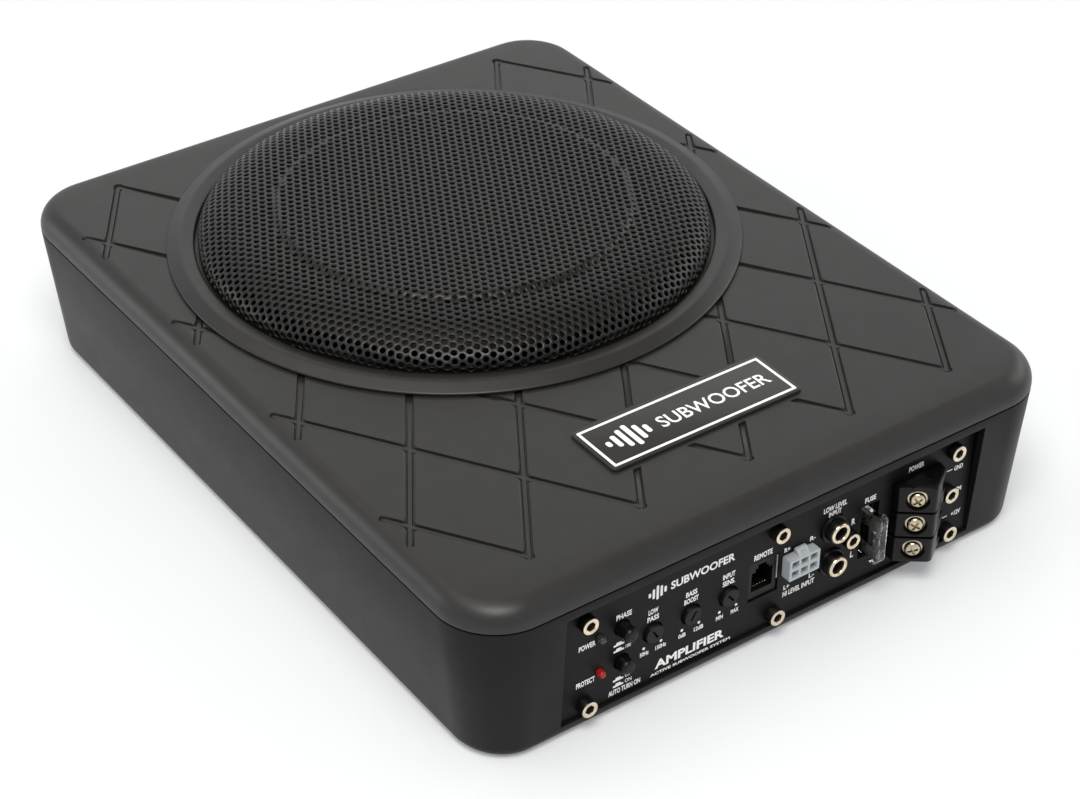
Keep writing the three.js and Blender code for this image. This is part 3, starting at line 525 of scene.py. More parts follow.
def make_cover():
    flat, edges = [], []

    def add_loop(loop):
        first = len(flat)
        flat.extend(Vector((p[0], p[1])) for p in loop)
        edges.extend((first + i, first + (i + 1) % len(loop)) for i in range(len(loop)))

    def add_edge(start, end):
        flat.extend((Vector(start), Vector(end)))
        edges.append((len(flat) - 2, len(flat) - 1))

    insets = [ROLL * (1 - math.cos(math.radians(a))) for a in (18, 27, 36, 45, 54, 63, 72, 81, 90)]
    for inset in insets:
        add_loop(body_loop(0, inset))
    for radius in (100, RING_OUTER - 4, RING_OUTER - 3.3, RING_OUTER - 2.6):
        add_loop(circle(*SPEAKER, radius, 120))
    for grow in (-0.15, 0.15, 0.45, 1.0):
        half_x, half_y = PAD["half_x"] + grow, PAD["half_y"] + grow
        add_loop(rectangle(PAD["x"] - half_x, PAD["x"] + half_x, PAD["y"] - half_y, PAD["y"] + half_y))
    for (ax, ay), (bx, by) in LINES:
        length = math.hypot(bx - ax, by - ay)
        ux, uy = (bx - ax) / length, (by - ay) / length
        for offset in (0.35, 0.75, 1.05, 1.35, 1.55, 1.75, 2.1, 2.5, 2.95):
            for side in (-1, 1):
                shift_x, shift_y = -uy * offset * side, ux * offset * side
                add_edge((ax - ux * 3 + shift_x, ay - uy * 3 + shift_y), (bx + ux * 3 + shift_x, by + uy * 3 + shift_y))
        for ex, ey, away in ((ax, ay, -1), (bx, by, 1)):
            for offset in (0.75, 1.05, 1.35, 1.55, 1.9):
                mid_x, mid_y = ex + ux * offset * away, ey + uy * offset * away
                add_edge((mid_x - uy * 3, mid_y + ux * 3), (mid_x + uy * 3, mid_y - ux * 3))
    points, _, faces, *_ = delaunay_2d_cdt(flat, edges, [], 0, 1e-4, False)
    at = np.array([(p.x, p.y) for p in points])
    height = cover_height(at[:, 0], at[:, 1])
    top = Shape()
    kept = []
    for face in faces:
        cx, cy = at[list(face)].mean(axis=0)
        if math.hypot(cx - SPEAKER[0], cy - SPEAKER[1]) > 100 and outline_distance(cx, cy) > insets[0] - 1e-3:
            kept.append(face)
    used = sorted({i for face in kept for i in face})
    made = dict(zip(used, top.points([(at[i][0], at[i][1], height[i]) for i in used])))
    for face in kept:
        top.bm.faces.new([made[i] for i in face])
    start = COVER_Z - ROLL
    rolled = [body_loop(start + ROLL * math.sin(math.radians(a)), ROLL * (1 - math.cos(math.radians(a))))
              for a in (18, 9, 0)]
    low = SEAM_Z + SEAM_GAP
    skirt = ((0.5, 0), (0.15, 0.15), (0, 0.5), (0, WALL), (5, WALL))
    top.loft([*rolled, *(body_loop(low + up, inset) for up, inset in skirt)], start=False, end=False)
    bmesh.ops.remove_doubles(top.bm, verts=top.bm.verts, dist=2e-6)
    top.piece("quilted_cover", cover_look, stands_for="top_cover", slot="charcoal_cover", sharp=50)
    # A near-black lip inside the seam: painted shade seen through the gap between the cover and the enclosure.
    section = ((58.4, 3.5), (66, 3.5), (66, 5.5), (58.4, 5.5))
    lip = Shape().loft([body_loop(z, inset) for z, inset in section], closed=True)
    lip = lip.piece("cover_lip", painted_shade_look, body=None)
    cut(lip, Shape().box((-101.5, -180, 50), (101.5, -161.2, SEAM_Z)))
    hand_over(lip, "housing", None, "charcoal_cover")


make_cover()


# ---- trim ring ----
def raised(profile, level=COVER_Z):
    return [(radius, level + height) for radius, height in profile]


Shape().lathe(raised([
    (118.1, 0.3), (118.4, 0.4), (118.5, 0.6), (118.5, 0.95), (118.4, 1.2), (118.15, 1.4), (117.8, 1.55),
    (113.9, 3.0), (113.4, 3.15), (112.9, 3.24), (112.3, 3.25), (111.6, 3.2), (108.2, 2.8), (107.6, 2.7),
    (107.2, 2.5), (107.0, 2.1), (107.0, 0.3),
]), 180, on_speaker, closed=True).piece("domed_trim_ring", ring_look, stands_for="speaker_trim_ring",
                                        slot="charcoal_cover", sharp=40)


# ---- perforated grille ----
HOLE_PITCH, HOLE_RADIUS, SHEET, STEP_RADIUS = 3.5, 1.16, 0.9, 73.4
DOME = [(0, 16.1), (30, 16.1), (60, 16.0), (71.9, 15.95), (72.6, 15.8), (74.3, 14.5), (75.1, 14.35), (79, 14.4),
        (83.5, 14.2), (87.5, 13.85), (91, 13.3), (94.2, 12.5), (97, 11.5), (99.4, 10.5), (101.4, 9.4), (103, 8.3),
        (104.2, 7.1), (105.1, 5.7), (105.5, 4.2), (105.6, 2.2), (105.6, 0.3)]


def dome_table():
    """Arc length from the centre, radius, height and inward normal along the dome's profile."""
    knots = np.array(DOME)
    rows = []
    for (r0, z0), (r1, z1) in zip(knots, knots[1:]):
        for t in np.linspace(0, 1, 12, endpoint=False):
            rows.append((r0 + (r1 - r0) * t, z0 + (z1 - z0) * t))
    rows.append(tuple(knots[-1]))
    line = np.array(rows)
    for _ in range(3):
        line[1:-1] = (line[:-2] + 2 * line[1:-1] + line[2:]) / 4
    step = np.hypot(*np.diff(line, axis=0).T)
    along = np.concatenate([[0], np.cumsum(step)])
    tangent = np.gradient(line, along, axis=0)
    tangent /= np.linalg.norm(tangent, axis=1)[:, None]
    return along, line[:, 0], line[:, 1], tangent[:, 1], -tangent[:, 0]


ALONG, DOME_R, DOME_Z, NORMAL_R, NORMAL_Z = dome_table()


def on_dome(flat, sunk):
    """Wraps points of the flat sheet over the dome, sunk below its outer surface."""
    distance = np.hypot(flat[:, 0], flat[:, 1])
    turn = flat / np.maximum(distance, 1e-9)[:, None]
    radius = np.interp(distance, ALONG, DOME_R) + sunk * np.interp(distance, ALONG, NORMAL_R)
    height = np.interp(distance, ALONG, DOME_Z) + sunk * np.interp(distance, ALONG, NORMAL_Z)
    return np.column_stack([turn[:, 0] * radius + SPEAKER[0], turn[:, 1] * radius + SPEAKER[1], height + COVER_Z])


def make_grille():
    row = HOLE_PITCH * math.sqrt(3) / 2
    reach = ALONG[-1] - 0.6
    centres = []
    for j in range(-int(reach / row) - 2, int(reach / row) + 3):
        for i in range(-int(reach / HOLE_PITCH) - 2, int(reach / HOLE_PITCH) + 3):
            x, y = (i + 0.5 * (j % 2)) * HOLE_PITCH, j * row
            if math.hypot(x, y) < reach - 1.6:
                centres.append((x, y))
    centres = np.array(centres)
    tilt = math.radians(1.2)
    rotation = np.array([[math.cos(tilt), -math.sin(tilt)], [math.sin(tilt), math.cos(tilt)]])
    angles = np.radians(np.arange(12) * 30)
    cell = np.where(np.arange(12) % 2 == 0, HOLE_PITCH / 2, HOLE_PITCH / math.sqrt(3))
    directions = np.column_stack([np.cos(angles), np.sin(angles)])
    rings = []
    from_step = np.abs(np.hypot(centres[:, 0], centres[:, 1]) - np.interp(STEP_RADIUS, DOME_R, ALONG))
    hole = np.where(from_step < 1.3, 0.68, 1.0)[:, None, None] * HOLE_RADIUS
    for radii, sunk in ((cell[None, :, None], 0.0), (hole + 0.13, 0.0), (hole, 0.14), (hole, SHEET)):
        flat = (centres[:, None, :] + directions[None] * radii).reshape(-1, 2) @ rotation.T
        rings.append((flat, sunk))
    keys = np.round(rings[0][0], 2)
    _, first, shared = np.unique(keys, axis=0, return_index=True, return_inverse=True)
    shared = shared.reshape(-1)
    vertices = [on_dome(rings[0][0][first], 0.0)]
    offsets = [0]
    for flat, sunk in rings[1:]:
        offsets.append(offsets[-1] + len(vertices[-1]))
        vertices.append(on_dome(flat, sunk))
    count = len(centres) * 12
    here = np.arange(count)
    after = here - here % 12 + (here + 1) % 12
    faces = [np.column_stack([shared[here], shared[after], offsets[1] + after, offsets[1] + here])]
    for level in (1, 2):
        faces.append(np.column_stack([offsets[level] + here, offsets[level] + after,
                                      offsets[level + 1] + after, offsets[level + 1] + here]))
    mesh = bpy.data.meshes.new("perforated_grille")
    mesh.from_pydata((np.vstack(vertices) * MM).tolist(), [], np.vstack(faces).tolist())
    mesh.materials.append(grille_look)
    obj = bpy.data.objects.new("perforated_grille", mesh)
    bpy.context.scene.collection.objects.link(obj)
    smooth(obj, 50)
    hand_over(obj, "housing", "speaker_grille", "satin_black_metal")
    Shape().lathe(raised([(104.6, 0.3), (105.6, 0.3), (105.6, 1.4), (104.6, 1.4)]),
                  160, on_speaker, closed=True).piece("grille_rim", grille_look, slot="satin_black_metal")


make_grille()


# ---- driver ----
FLANGE_TOP = COVER_Z + 2.5
Shape().lathe([(89.8, 60), (89.8, FLANGE_TOP - 0.4), (90.2, FLANGE_TOP), (101.8, FLANGE_TOP), (102.4, FLANGE_TOP - 0.5),
               (102.4, COVER_Z + 0.3), (92.4, COVER_Z + 0.3), (92.4, 70.5), (91.4, 60), (60, 36.2), (58.6, 38)],
              128, on_speaker, closed=True).piece("basket_rim", basket_look, slot="black_metal")

CONE_PROFILE = [(19.2, 49.0), (30, 53.2), (45, 59.3), (60, 65.9), (69.5, 70.6), (71.5, 72.7), (75.8, 73.5),
                (75.8, 72.6), (71.9, 71.6), (69.9, 69.6), (60, 64.7), (45, 58.1), (30, 52.0), (19.2, 47.9)]
Shape().lathe(CONE_PROFILE, 96, on_speaker, closed=True).piece(
    "pulp_cone", cone_look, "cone", "speaker_cone", "pulp_cone", sharp=45)
Shape().lathe([(0, 60.6), (6, 60.3), (12, 58.9), (18, 56.2), (22.5, 53.2), (24.4, 52.2), (23.6, 51.6), (18, 54.9),
               (12, 57.8), (6, 59.3), (0, 59.7)], 64, on_speaker).piece(
    "dust_dome", cone_look, "cone", "dust_cap", "pulp_cone", sharp=45)


def sectors(name, profile, look, node, slot, outer, inner, count=16):
    """A ring of separate pieces, one sector each, lying between the housing at its outer edge and the cone at its inner
    edge.
    """
    for i in range(count):
        first, last = 360 * i / count, 360 * (i + 1) / count
        obj = Shape().lathe(profile, 6, on_speaker, closed=True, first=first, last=last).piece(
            f"{name}_{i + 1}", look, body=None, slot=slot, sharp=60)
        middle = math.radians((first + last) / 2)
        ends = [tuple(v * MM for v in on_speaker((r * math.cos(middle), r * math.sin(middle), z)))
                for r, z in (outer, inner)]
        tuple(ends[0])
        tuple(ends[1])
        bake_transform(obj)
        if i == 0:
            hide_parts(node)


foot = FLANGE_TOP + 0.3
sectors("surround", raised([(94, 0), (94, 1), (89, 1.2), (87.6, 3.4), (85.4, 5.6), (82, 6.6), (78.6, 5.6), (76.4, 3.4),
                            (75, 1.2), (71.5, 0.9), (71.5, 0), (76, 0), (77.6, 3), (79.4, 4.6), (82, 5.4), (84.6, 4.6),
                            (86.4, 3), (88, 0)], foot),
        rubber_look, "cone_surround", "rubber", (88, foot), (76, foot))
sectors("spider", [(56, 39.3), (47, 41.2), (43, 39.8), (38, 43.4), (33, 39.8), (28, 43.4), (24, 41.4), (19.3, 41.4),
                   (19.3, 40.6), (24, 40.6), (28, 42.6), (33, 39), (38, 42.6), (43, 39), (47, 40.4), (51, 38.5),
                   (56, 38.5)],
        spider_look, "spider_suspension", "woven_spider", (50, 40), (24, 40))


# ---- control panel ----
PANEL_SCREWS = [(-86.4, 49.2), (-86.4, 10.4), (0, 49.4), (0, 10.5), (35.2, 30.6), (86.4, 49.2), (84.9, 29.8),
                (86.4, 10.4)]
LED_X, BUTTON_X = -79.8, -70.0
ROWS = (38.3, 22.4)
KNOB_Z = 29.2
KNOBS = {"low_pass": (-56.2, 31), "bass_boost": (-38.9, -33), "input_level": (-21.6, 38)}
RCA_X, RCA_Z = 27.5, {"right": 38.5, "left": 22.6}
JACK = (-11.9, 1.6, 21.3, 38.3)
HEADER = (3.9, 18.4, 26.0, 35.6)
FUSE_SLOT = (41.4, 50.3, 16.6, 41.3)
TERMINAL_FOOT = (58, 77, 14, 44)
HOLE_GAP = 0.3


def grown(box, by):
    """A (left, right, bottom, top) box, larger by this much on every side."""
    left, right, bottom, top = box
    return left - by, right + by, bottom - by, top + by


def upright(point):
    """Stands a sheet drawn in (x, z) upright, with its level measured out of the panel."""
    return (point[0], PANEL_Y - point[2], point[1])


def make_panel():
    holes = [circle(x, z, 2.0, 20) for x, z in PANEL_SCREWS]
    holes += [circle(LED_X, z, 1.8, 24) for z in ROWS]
    holes += [circle(BUTTON_X, z, 3.5, 32) for z in ROWS]
    holes += [circle(x, KNOB_Z, 4.5, 40) for x, _ in KNOBS.values()]
    holes += [circle(RCA_X, z, 6.0, 40) for z in RCA_Z.values()]
    holes += [rectangle(*grown(box, HOLE_GAP), 0.4) for box in (JACK, HEADER)]
    holes += [rectangle(*FUSE_SLOT, 0.5), rectangle(*grown(TERMINAL_FOOT, HOLE_GAP), 0.5)]
    plate(Shape(), rectangle(-96.9, 96.9, 6.5, 57.0, 0.8), holes, 0.0, -2.0, upright).piece(
        "panel_sheet", panel_look, stands_for="control_panel", slot="satin_black_metal", bevel=0.22, sharp=30)


make_panel()


def hex_socket_screw(name, x, z):
    """A cap screw: a knurled side in dark metal, which is a painted reflection of the dark panel in its plating, a
    bright ring on top and a hexagon socket whose floor is painted shade.
    """
    place = out_of_panel(x, z, PANEL_Y - 0.15)

    def knurled(radius, height, knurl=0.0):
        round_loop, sunk_loop = circle(0, 0, radius, 72), circle(0, 0, radius - knurl, 72)
        return [(*(sunk_loop if i % 2 else round_loop)[i], height) for i in range(72)]

    def hexagon(radius, height):
        corners = circle(0, 0, radius, 6, 15)
        sides = zip(corners, (*corners[1:], corners[0]))
        return [(a[0] + (b[0] - a[0]) * i / 6, a[1] + (b[1] - a[1]) * i / 6, height)
                for a, b in sides for i in range(6)]

    def ring(radius, height):
        return [(x, y, height) for x, y in circle(0, 0, radius, 36, 15)]

    Shape().loft([knurled(3.5, 0.0, 0.07), knurled(3.5, 3.3, 0.07), knurled(3.35, 3.6)], place, end=False).piece(
        f"{name}_side", dark_metal_and_painted_reflection_look, stands_for=name, slot="screw_steel", sharp=50, solid=False)
    Shape().loft([ring(3.36, 3.55), ring(3.2, 3.78), ring(2.9, 3.9), ring(2.45, 3.9), ring(2.2, 3.8),
                  hexagon(2.0, 3.55), hexagon(1.9, 1.7), ring(0.6, 1.2)], place, start=False).piece(
        f"{name}_face", champagne_look, slot="screw_steel", sharp=40)
    # The socket's floor is a near-black disc: painted shade at the bottom of the hexagon.
    Shape().lathe([(0, 1.9), (1.55, 1.9), (1.85, 2.3), (1.85, 2.5), (0, 2.5)], 24, place).piece(
        f"{name}_socket", painted_shade_look, slot="screw_steel")


for number, (screw_x, screw_z) in enumerate(PANEL_SCREWS, 1):
    hex_socket_screw(f"panel_screw_{number}", screw_x, screw_z)


# ---- lamps, push buttons and rotary controls ----
for node, look, slot_name, lamp_z in (("power_lamp", dark_lamp_look, "dark_lamp", ROWS[0]),
                                      ("protect_lamp", red_lamp_look, "red_lamp", ROWS[1])):
    Shape().lathe([(0, -3), (1.9, -3), (1.9, -2.3), (1.5, -2.2), (1.5, 1.5), (1.4, 2.1), (1.05, 2.6), (0.55, 2.9),
                   (0, 3)], 32, out_of_panel(LED_X, lamp_z)).piece(f"{node}_lens", look, "housing", node, slot_name)

for name, button_z, proud in (("phase", ROWS[0], 6.6), ("auto_turn_on", ROWS[1], 5.1)):
    place = out_of_panel(BUTTON_X, button_z)
    Shape().lathe([(0, -8.5), (3.0, -8.5), (3.05, proud - 2.0), (2.95, proud - 1.2), (2.55, proud - 0.35),
                   (2.3, proud - 0.18)], 40, place).piece(
        f"{name}_cap", black_look, f"{name}_button", f"{name}_button", "black_plastic", sharp=50, solid=False)
    # The end is a lighter grey than the black cap: a painted highlight where the cap's end face catches the light.
    Shape().lathe([(2.34, proud - 0.22), (2.1, proud - 0.05), (1.6, proud), (0, proud + 0.02)], 40, place).piece(
        f"{name}_cap_end", grey_and_painted_highlight_look, f"{name}_button", None, "black_plastic", sharp=50, solid=False)

for name, (knob_x, turn) in KNOBS.items():
    knob_place = turned(out_of_panel(knob_x, KNOB_Z), turn)
    knob = Shape().lathe([(0, -6), (3.85, -6), (3.85, 1.3), (3.75, 1.55), (3.5, 1.7), (0, 1.7)], 48, knob_place)
    knob = knob.piece(f"{name}_dial", grey_and_painted_highlight_look, body=None, sharp=40)
    cut(knob, Shape().box((-0.45, -2.1, 0.9), (0.45, 2.1, 3), knob_place), 30)
    hand_over(knob, f"{name}_knob", f"{name}_knob", "grey_plastic")
    # The slot's floor is painted shade.
    Shape().box((-0.44, -2.09, 0.89), (0.44, 2.09, 0.94), knob_place).piece(
        f"{name}_slot_floor", painted_shade_look, f"{name}_knob", None, "grey_plastic")
    # A near-black ring round the dial in its hole: painted shade in the gap, where the dial's side is in shadow.
    Shape().lathe([(3.86, -6.2), (4.45, -6.2), (4.45, -0.3), (3.86, -2.5)], 48, out_of_panel(knob_x, KNOB_Z),
                  closed=True).piece(f"{name}_well", painted_shade_look, slot="switch_metal")


# ---- phono sockets ----
for side, rca_z in RCA_Z.items():
    place = out_of_panel(RCA_X, rca_z)
    Shape().lathe([(4.85, -1.9), (5.9, -1.9), (5.9, 1.0), (5.75, 1.25), (4.95, 1.3), (4.85, 4.0), (4.7, 4.3),
                   (4.4, 4.3), (4.4, -1.9)], 64, place, closed=True).piece(
        f"rca_collar_{side}", black_look, stands_for="rca_housing" if side == "right" else None, slot="black_plastic",
        sharp=40)
    Shape().lathe([(4.35, -1.9), (4.35, 4.3), (4.3, 4.7), (4.12, 5.0), (3.85, 5.2), (3.5, 5.25), (3.15, 5.12),
                   (2.95, 4.85), (2.85, 4.4), (2.85, -1.9)], 64, place, closed=True).piece(
        f"rca_shell_{side}", champagne_look, stands_for=f"rca_contact_{side}", slot="gold_contact", sharp=35)
    # The insulator is black plastic, drawn in the near-black painted shade because it sits deep in the socket.
    Shape().lathe([(2.84, -1.9), (2.84, 3.6), (2.7, 3.8), (2.3, 3.8), (2.1, 3.5), (2.0, -1.9)], 48, place,
                  closed=True).piece(f"rca_insulator_{side}", painted_shade_look, slot="black_plastic", sharp=40)
    # The pin hole's floor is painted shade.
    Shape().lathe([(0, -1.5), (2.0, -1.5), (2.0, -1.2), (0, -1.2)], 32, place).piece(
        f"rca_pin_floor_{side}", painted_shade_look, slot="black_plastic")
Shape().box((20.7, PANEL_BACK + 0.4, 15.1), (34.3, -153.5, 46)).piece(
    "rca_body", black_look, slot="black_plastic", bevel=0.4)


# ---- remote socket ----
def make_jack():
    left, right, bottom, top = JACK
    well = [(-10.2, 24.6), (-0.4, 24.6), (-0.4, 33.4), (-2.2, 33.4), (-2.2, 34.9), (-3.4, 34.9), (-3.4, 36.4),
            (-7.2, 36.4), (-7.2, 34.9), (-8.4, 34.9), (-8.4, 33.4), (-10.2, 33.4)]
    plate(Shape(), rectangle(left, right, bottom, top, 0.3), [well], -0.8, -10.5, upright).piece(
        "socket_body", black_look, stands_for="remote_socket", slot="black_plastic", bevel=0.15, sharp=30)
    # A near-black back wall: painted shade at the back of the socket's well.
    Shape().box((left, -157.0, bottom), (right, -155.0, top)).piece("socket_back", painted_shade_look, slot="black_plastic")
    for i in range(6):
        x = -8.2 + i * 1.16
        Shape().box((x - 0.25, -165.2, 25.4), (x + 0.25, -157, 26.0)).piece(
            f"socket_contact_{i + 1}", champagne_look, slot="gold_contact", bevel=0.1)
    Shape().box((1.0, PANEL_Y + 0.2, 26.6), (1.7, PANEL_Y + 0.9, 37.6)).piece(
        "socket_shield_spring", steel_look, slot="screw_steel", bevel=0.15)


make_jack()


# ---- white speaker-level header ----
def make_header():
    left, right, bottom, top = HEADER
    middle, centre = (left + right) / 2, (bottom + top) / 2
    contacts = {f"{column + 2}_{'upper' if row > 0 else 'lower'}": (middle + column * 4.4, centre + row * 2.15)
                for column in (-1, 0, 1) for row in (-1, 1)}
    cells = [rectangle(x - 1.65, x + 1.65, z - 1.5, z + 1.5, 0.35, 3) for x, z in contacts.values()]
    plate(Shape(), rectangle(left, right, bottom, top, 0.5), cells, 4.0, -6.0, upright).piece(
        "header_body", white_look, stands_for="speaker_level_header", slot="white_plastic", bevel=0.18, sharp=30)
    Shape().box((left + 0.3, PANEL_Y - 0.6, bottom + 0.3), (right - 0.3, PANEL_Y + 0.4, top - 0.3)).piece(
        "header_floor", white_look, slot="white_plastic")
    for label, (x, z) in contacts.items():
        Shape().box((x - 0.35, PANEL_Y - 2.6, z - 0.35), (x + 0.35, PANEL_Y, z + 0.35)).piece(
            f"header_pin_{label}", steel_look, slot="screw_steel", bevel=0.12)
    low = top - 0.4
    wedge = [(PANEL_Y - 3.7, low), (PANEL_Y - 0.2, low), (PANEL_Y - 0.2, top + 2.2), (PANEL_Y - 1.4, top + 2.3),
             (PANEL_Y - 2.2, top + 1.9)]
    Shape().loft([[(x, y, z) for y, z in wedge] for x in (middle - 2.6, middle + 2.6)]).piece(
        "header_latch", white_look, slot="white_plastic", bevel=0.3)
    Shape().box((middle - 1.0, PANEL_Y - 3.4, top - 0.1), (middle + 1.0, PANEL_Y - 1.6, top + 1.7)).piece(
        "header_latch_rib", white_look, slot="white_plastic", bevel=0.25)


make_header()


# ---- fuse ----
def make_fuse():
    x, z, half_x, half_z = 45.4, 28.5, 3.1, 10.3
    front = PANEL_Y - 8.0
    case = (x - half_x, x + half_x, z - half_z, z + half_z)
    well = rectangle(*grown(case, 0.5), 0.4)
    plate(Shape(), rectangle(*grown(FUSE_SLOT, 1), 0.4), [well], -2.3, -12.0, upright).piece(
        "fuse_socket", black_look, stands_for="fuse_holder", slot="black_plastic", bevel=0.2)

    def section(y, shrink_x, shrink_z):
        return [(px, y, pz) for px, pz in rectangle(x - half_x + shrink_x, x + half_x - shrink_x,
                                                    z - half_z + shrink_z, z + half_z - shrink_z, 1.1, 6)]

    Shape().loft([
        section(front, 0.9, 0.9), section(front + 0.15, 0.4, 0.4), section(front + 0.5, 0.08, 0.08),
        section(front + 0.9, 0.0, 0.0), section(front + 2.8, 0.0, 0.0), section(front + 3.1, 0.55, 0.5),
        section(front + 3.5, 0.7, 0.6), section(-163.7, 0.7, 0.6),
    ]).piece("fuse_case", fuse_look, "blade_fuse", "blade_fuse", "fuse_plastic", sharp=40)
    ends = (("lower", -1), ("upper", 1))
    for end, sign in ends:
        blade_z = z + sign * 6.6
        Shape().box((x - 0.35, front + 1.6, blade_z - 2.5), (x + 0.35, -158, blade_z + 2.5)).piece(
            f"fuse_blade_{end}", steel_look, "blade_fuse", None, "screw_steel", bevel=0.1)
    link = [(-171.6, z - 4.4), (-173.2, z - 2.2), (-172.4, z), (-173.2, z + 2.2), (-171.6, z + 4.4)]
    Shape().loft([[(x - 0.3, py - 0.5, pz), (x + 0.3, py - 0.5, pz), (x + 0.3, py + 0.5, pz), (x - 0.3, py + 0.5, pz)]
                  for py, pz in link]).piece("fuse_link", steel_look, "blade_fuse", None, "screw_steel", sharp=30)
    for end, sign in ends:
        Shape().box((x - 1.9, front - 0.05, z + sign * 6.4 - 1.5), (x + 1.9, front + 0.8, z + sign * 6.4 + 1.5)).piece(
            f"fuse_window_{end}", fuse_look, "blade_fuse", None, "fuse_plastic", bevel=0.3)


make_fuse()


# ---- power terminals ----
TERMINAL_LOW, TERMINAL_CELL = 11.4, 11.7
LEFT_FOOT, NOSE, RIGHT_FOOT = (56.1, -171.5), (67.5, -180.5), (79.0, -172.5)
SLOPE = Vector((NOSE[0] - LEFT_FOOT[0], NOSE[1] - LEFT_FOOT[1])).normalized()
OUT = Vector((SLOPE.y, -SLOPE.x))
FACE_MIDDLE = ((LEFT_FOOT[0] + NOSE[0]) / 2, (LEFT_FOOT[1] + NOSE[1]) / 2)


def on_slope(z, out=0.0):
    """Places a piece drawn round +Z so that it stands on the screws' slope at this height."""
    def place(point):
        u, v, w = point[0], point[1], point[2] + out
        return (FACE_MIDDLE[0] + SLOPE.x * u + OUT.x * w, FACE_MIDDLE[1] + SLOPE.y * u + OUT.y * w, z + v)
    return place


def rounded_polygon(corners, radii, inset, steps=6):
    """A convex polygon, listed counterclockwise, drawn in by inset with its corners rounded."""
    count = len(corners)
    lines = []
    for i in range(count):
        a, b = Vector(corners[i]), Vector(corners[(i + 1) % count])
        along = (b - a).normalized()
        lines.append((a + Vector((-along.y, along.x)) * inset, along))
    loop = []
    for i in range(count):
        (p, u), (q, v) = lines[i - 1], lines[i]
        cross = u.x * v.y - u.y * v.x
        t = ((q.x - p.x) * v.y - (q.y - p.y) * v.x) / cross
        corner = p + u * t
        radius = max(radii[i] - inset, 0.15)
        half = math.acos(max(-1.0, min(1.0, u.dot(v)))) / 2
        run = radius * math.tan(half)
        centre = corner - u * run + Vector((-u.y, u.x)) * radius
        first = math.atan2(-u.x, u.y)
        for k in range(steps + 1):
            angle = first + 2 * half * k / steps
            loop.append((centre.x + radius * math.cos(angle), centre.y + radius * math.sin(angle)))
    return loop


def make_terminals():
    corners = [(56.1, PANEL_Y - 0.2), LEFT_FOOT, NOSE, RIGHT_FOOT, (80.4, PANEL_Y - 0.2)]
    radii = [0.3, 0.9, 2.4, 1.2, 0.3]
    top = TERMINAL_LOW + 3 * TERMINAL_CELL
    levels = [(TERMINAL_LOW, 0.5), (TERMINAL_LOW + 0.15, 0.15), (TERMINAL_LOW + 0.5, 0.0)]
    for i in (1, 2):
        z = TERMINAL_LOW + i * TERMINAL_CELL
        levels += [(z - 0.75, 0.0), (z - 0.5, 0.18), (z - 0.42, 1.3), (z + 0.42, 1.3), (z + 0.5, 0.18), (z + 0.75, 0.0)]
    levels += [(top - 0.9, 0.0), (top - 0.35, 0.2), (top, 0.8)]
    block = Shape().loft([[(x, y, z) for x, y in rounded_polygon(corners, radii, inset)] for z, inset in levels])
    block = block.piece("terminal_body", black_look, body=None, sharp=35)
    cells = [TERMINAL_LOW + TERMINAL_CELL * (i + 0.5) for i in range(3)]
    for z in cells:
        cut(block, Shape().lathe([(0, -2), (4.55, -2), (4.75, 3), (0, 3)], 48, on_slope(z)))
        cut(block, Shape().box((66, -175.4, z - 3.1), (90, -168.9, z + 3.1)))
    # A shallow recess on top holds the painted reflection patch.
    cut(block, Shape().box((60.0, -174.5, top - 0.45), (70.5, -169.2, top + 3)))
    hand_over(block, "housing", "power_terminal_block", "black_plastic")
    left, right, bottom, high = TERMINAL_FOOT
    Shape().box((left, PANEL_Y - 0.3, bottom), (right, -153.5, high)).piece(
        "terminal_foot", black_look, slot="black_plastic")
    # A lighter patch on the block's top: a painted reflection on the glossy black.
    Shape().box((60.3, -174.2, top - 0.44), (70.2, -169.5, top - 0.2)).piece(
        "terminal_top_reflection_patch", grey_and_painted_highlight_look, slot="black_plastic", bevel=0.1)
    for wire, turn, z in zip(("battery", "remote", "ground"), (20, 62, 41), cells):
        place = on_slope(z, -1.95)
        Shape().lathe([(1.9, 0.0), (3.95, 0.0), (4.05, 0.15), (4.0, 0.45), (3.7, 0.6), (1.9, 0.6)], 48, place,
                      closed=True).piece(f"{wire}_washer", brass_look, f"{wire}_terminal_screw", None, "screw_steel")
        turned_place = turned(place, turn)
        head = Shape().lathe([(0, 0.6), (3.0, 0.6), (3.2, 0.85), (3.15, 1.3), (2.85, 1.85), (2.3, 2.25), (1.4, 2.5),
                              (0, 2.58)], 48, turned_place)
        head = head.piece(f"{wire}_screw_head", brass_look, body=None, sharp=40)
        for length, width in ((2.35, 0.5), (0.5, 2.35)):
            cross = Shape().loft([[(-length * k, -width * k, h), (length * k, -width * k, h),
                                   (length * k, width * k, h), (-length * k, width * k, h)]
                                  for k, h in ((0.72, 1.0), (1.0, 3.2))], turned_place)
            cut(head, cross, 30)
        hand_over(head, f"{wire}_terminal_screw", f"{wire}_terminal_screw", "screw_steel")


make_terminals()


# ---- badge and printed legends ----
BADGE = {"x": -1.0, "y": -114.7, "half_x": 44.3, "half_y": 13.9, "top": COVER_Z + 1.1}


def badge_loop(z, inset):
    return [(x, y, z) for x, y in rectangle(
        BADGE["x"] - BADGE["half_x"] + inset, BADGE["x"] + BADGE["half_x"] - inset,
        BADGE["y"] - BADGE["half_y"] + inset, BADGE["y"] + BADGE["half_y"] - inset, max(2.2 - inset, 0.4), 8)]


Shape().loft([badge_loop(COVER_Z + up, inset) for up, inset in (
    (-0.6, 0.35), (0.05, 0.35), (0.1, 0.0), (0.75, 0.0), (1.0, 0.1), (1.1, 0.35))]).piece(
    "badge_base", ring_look, stands_for="badge_plate", slot="charcoal_cover", sharp=30)


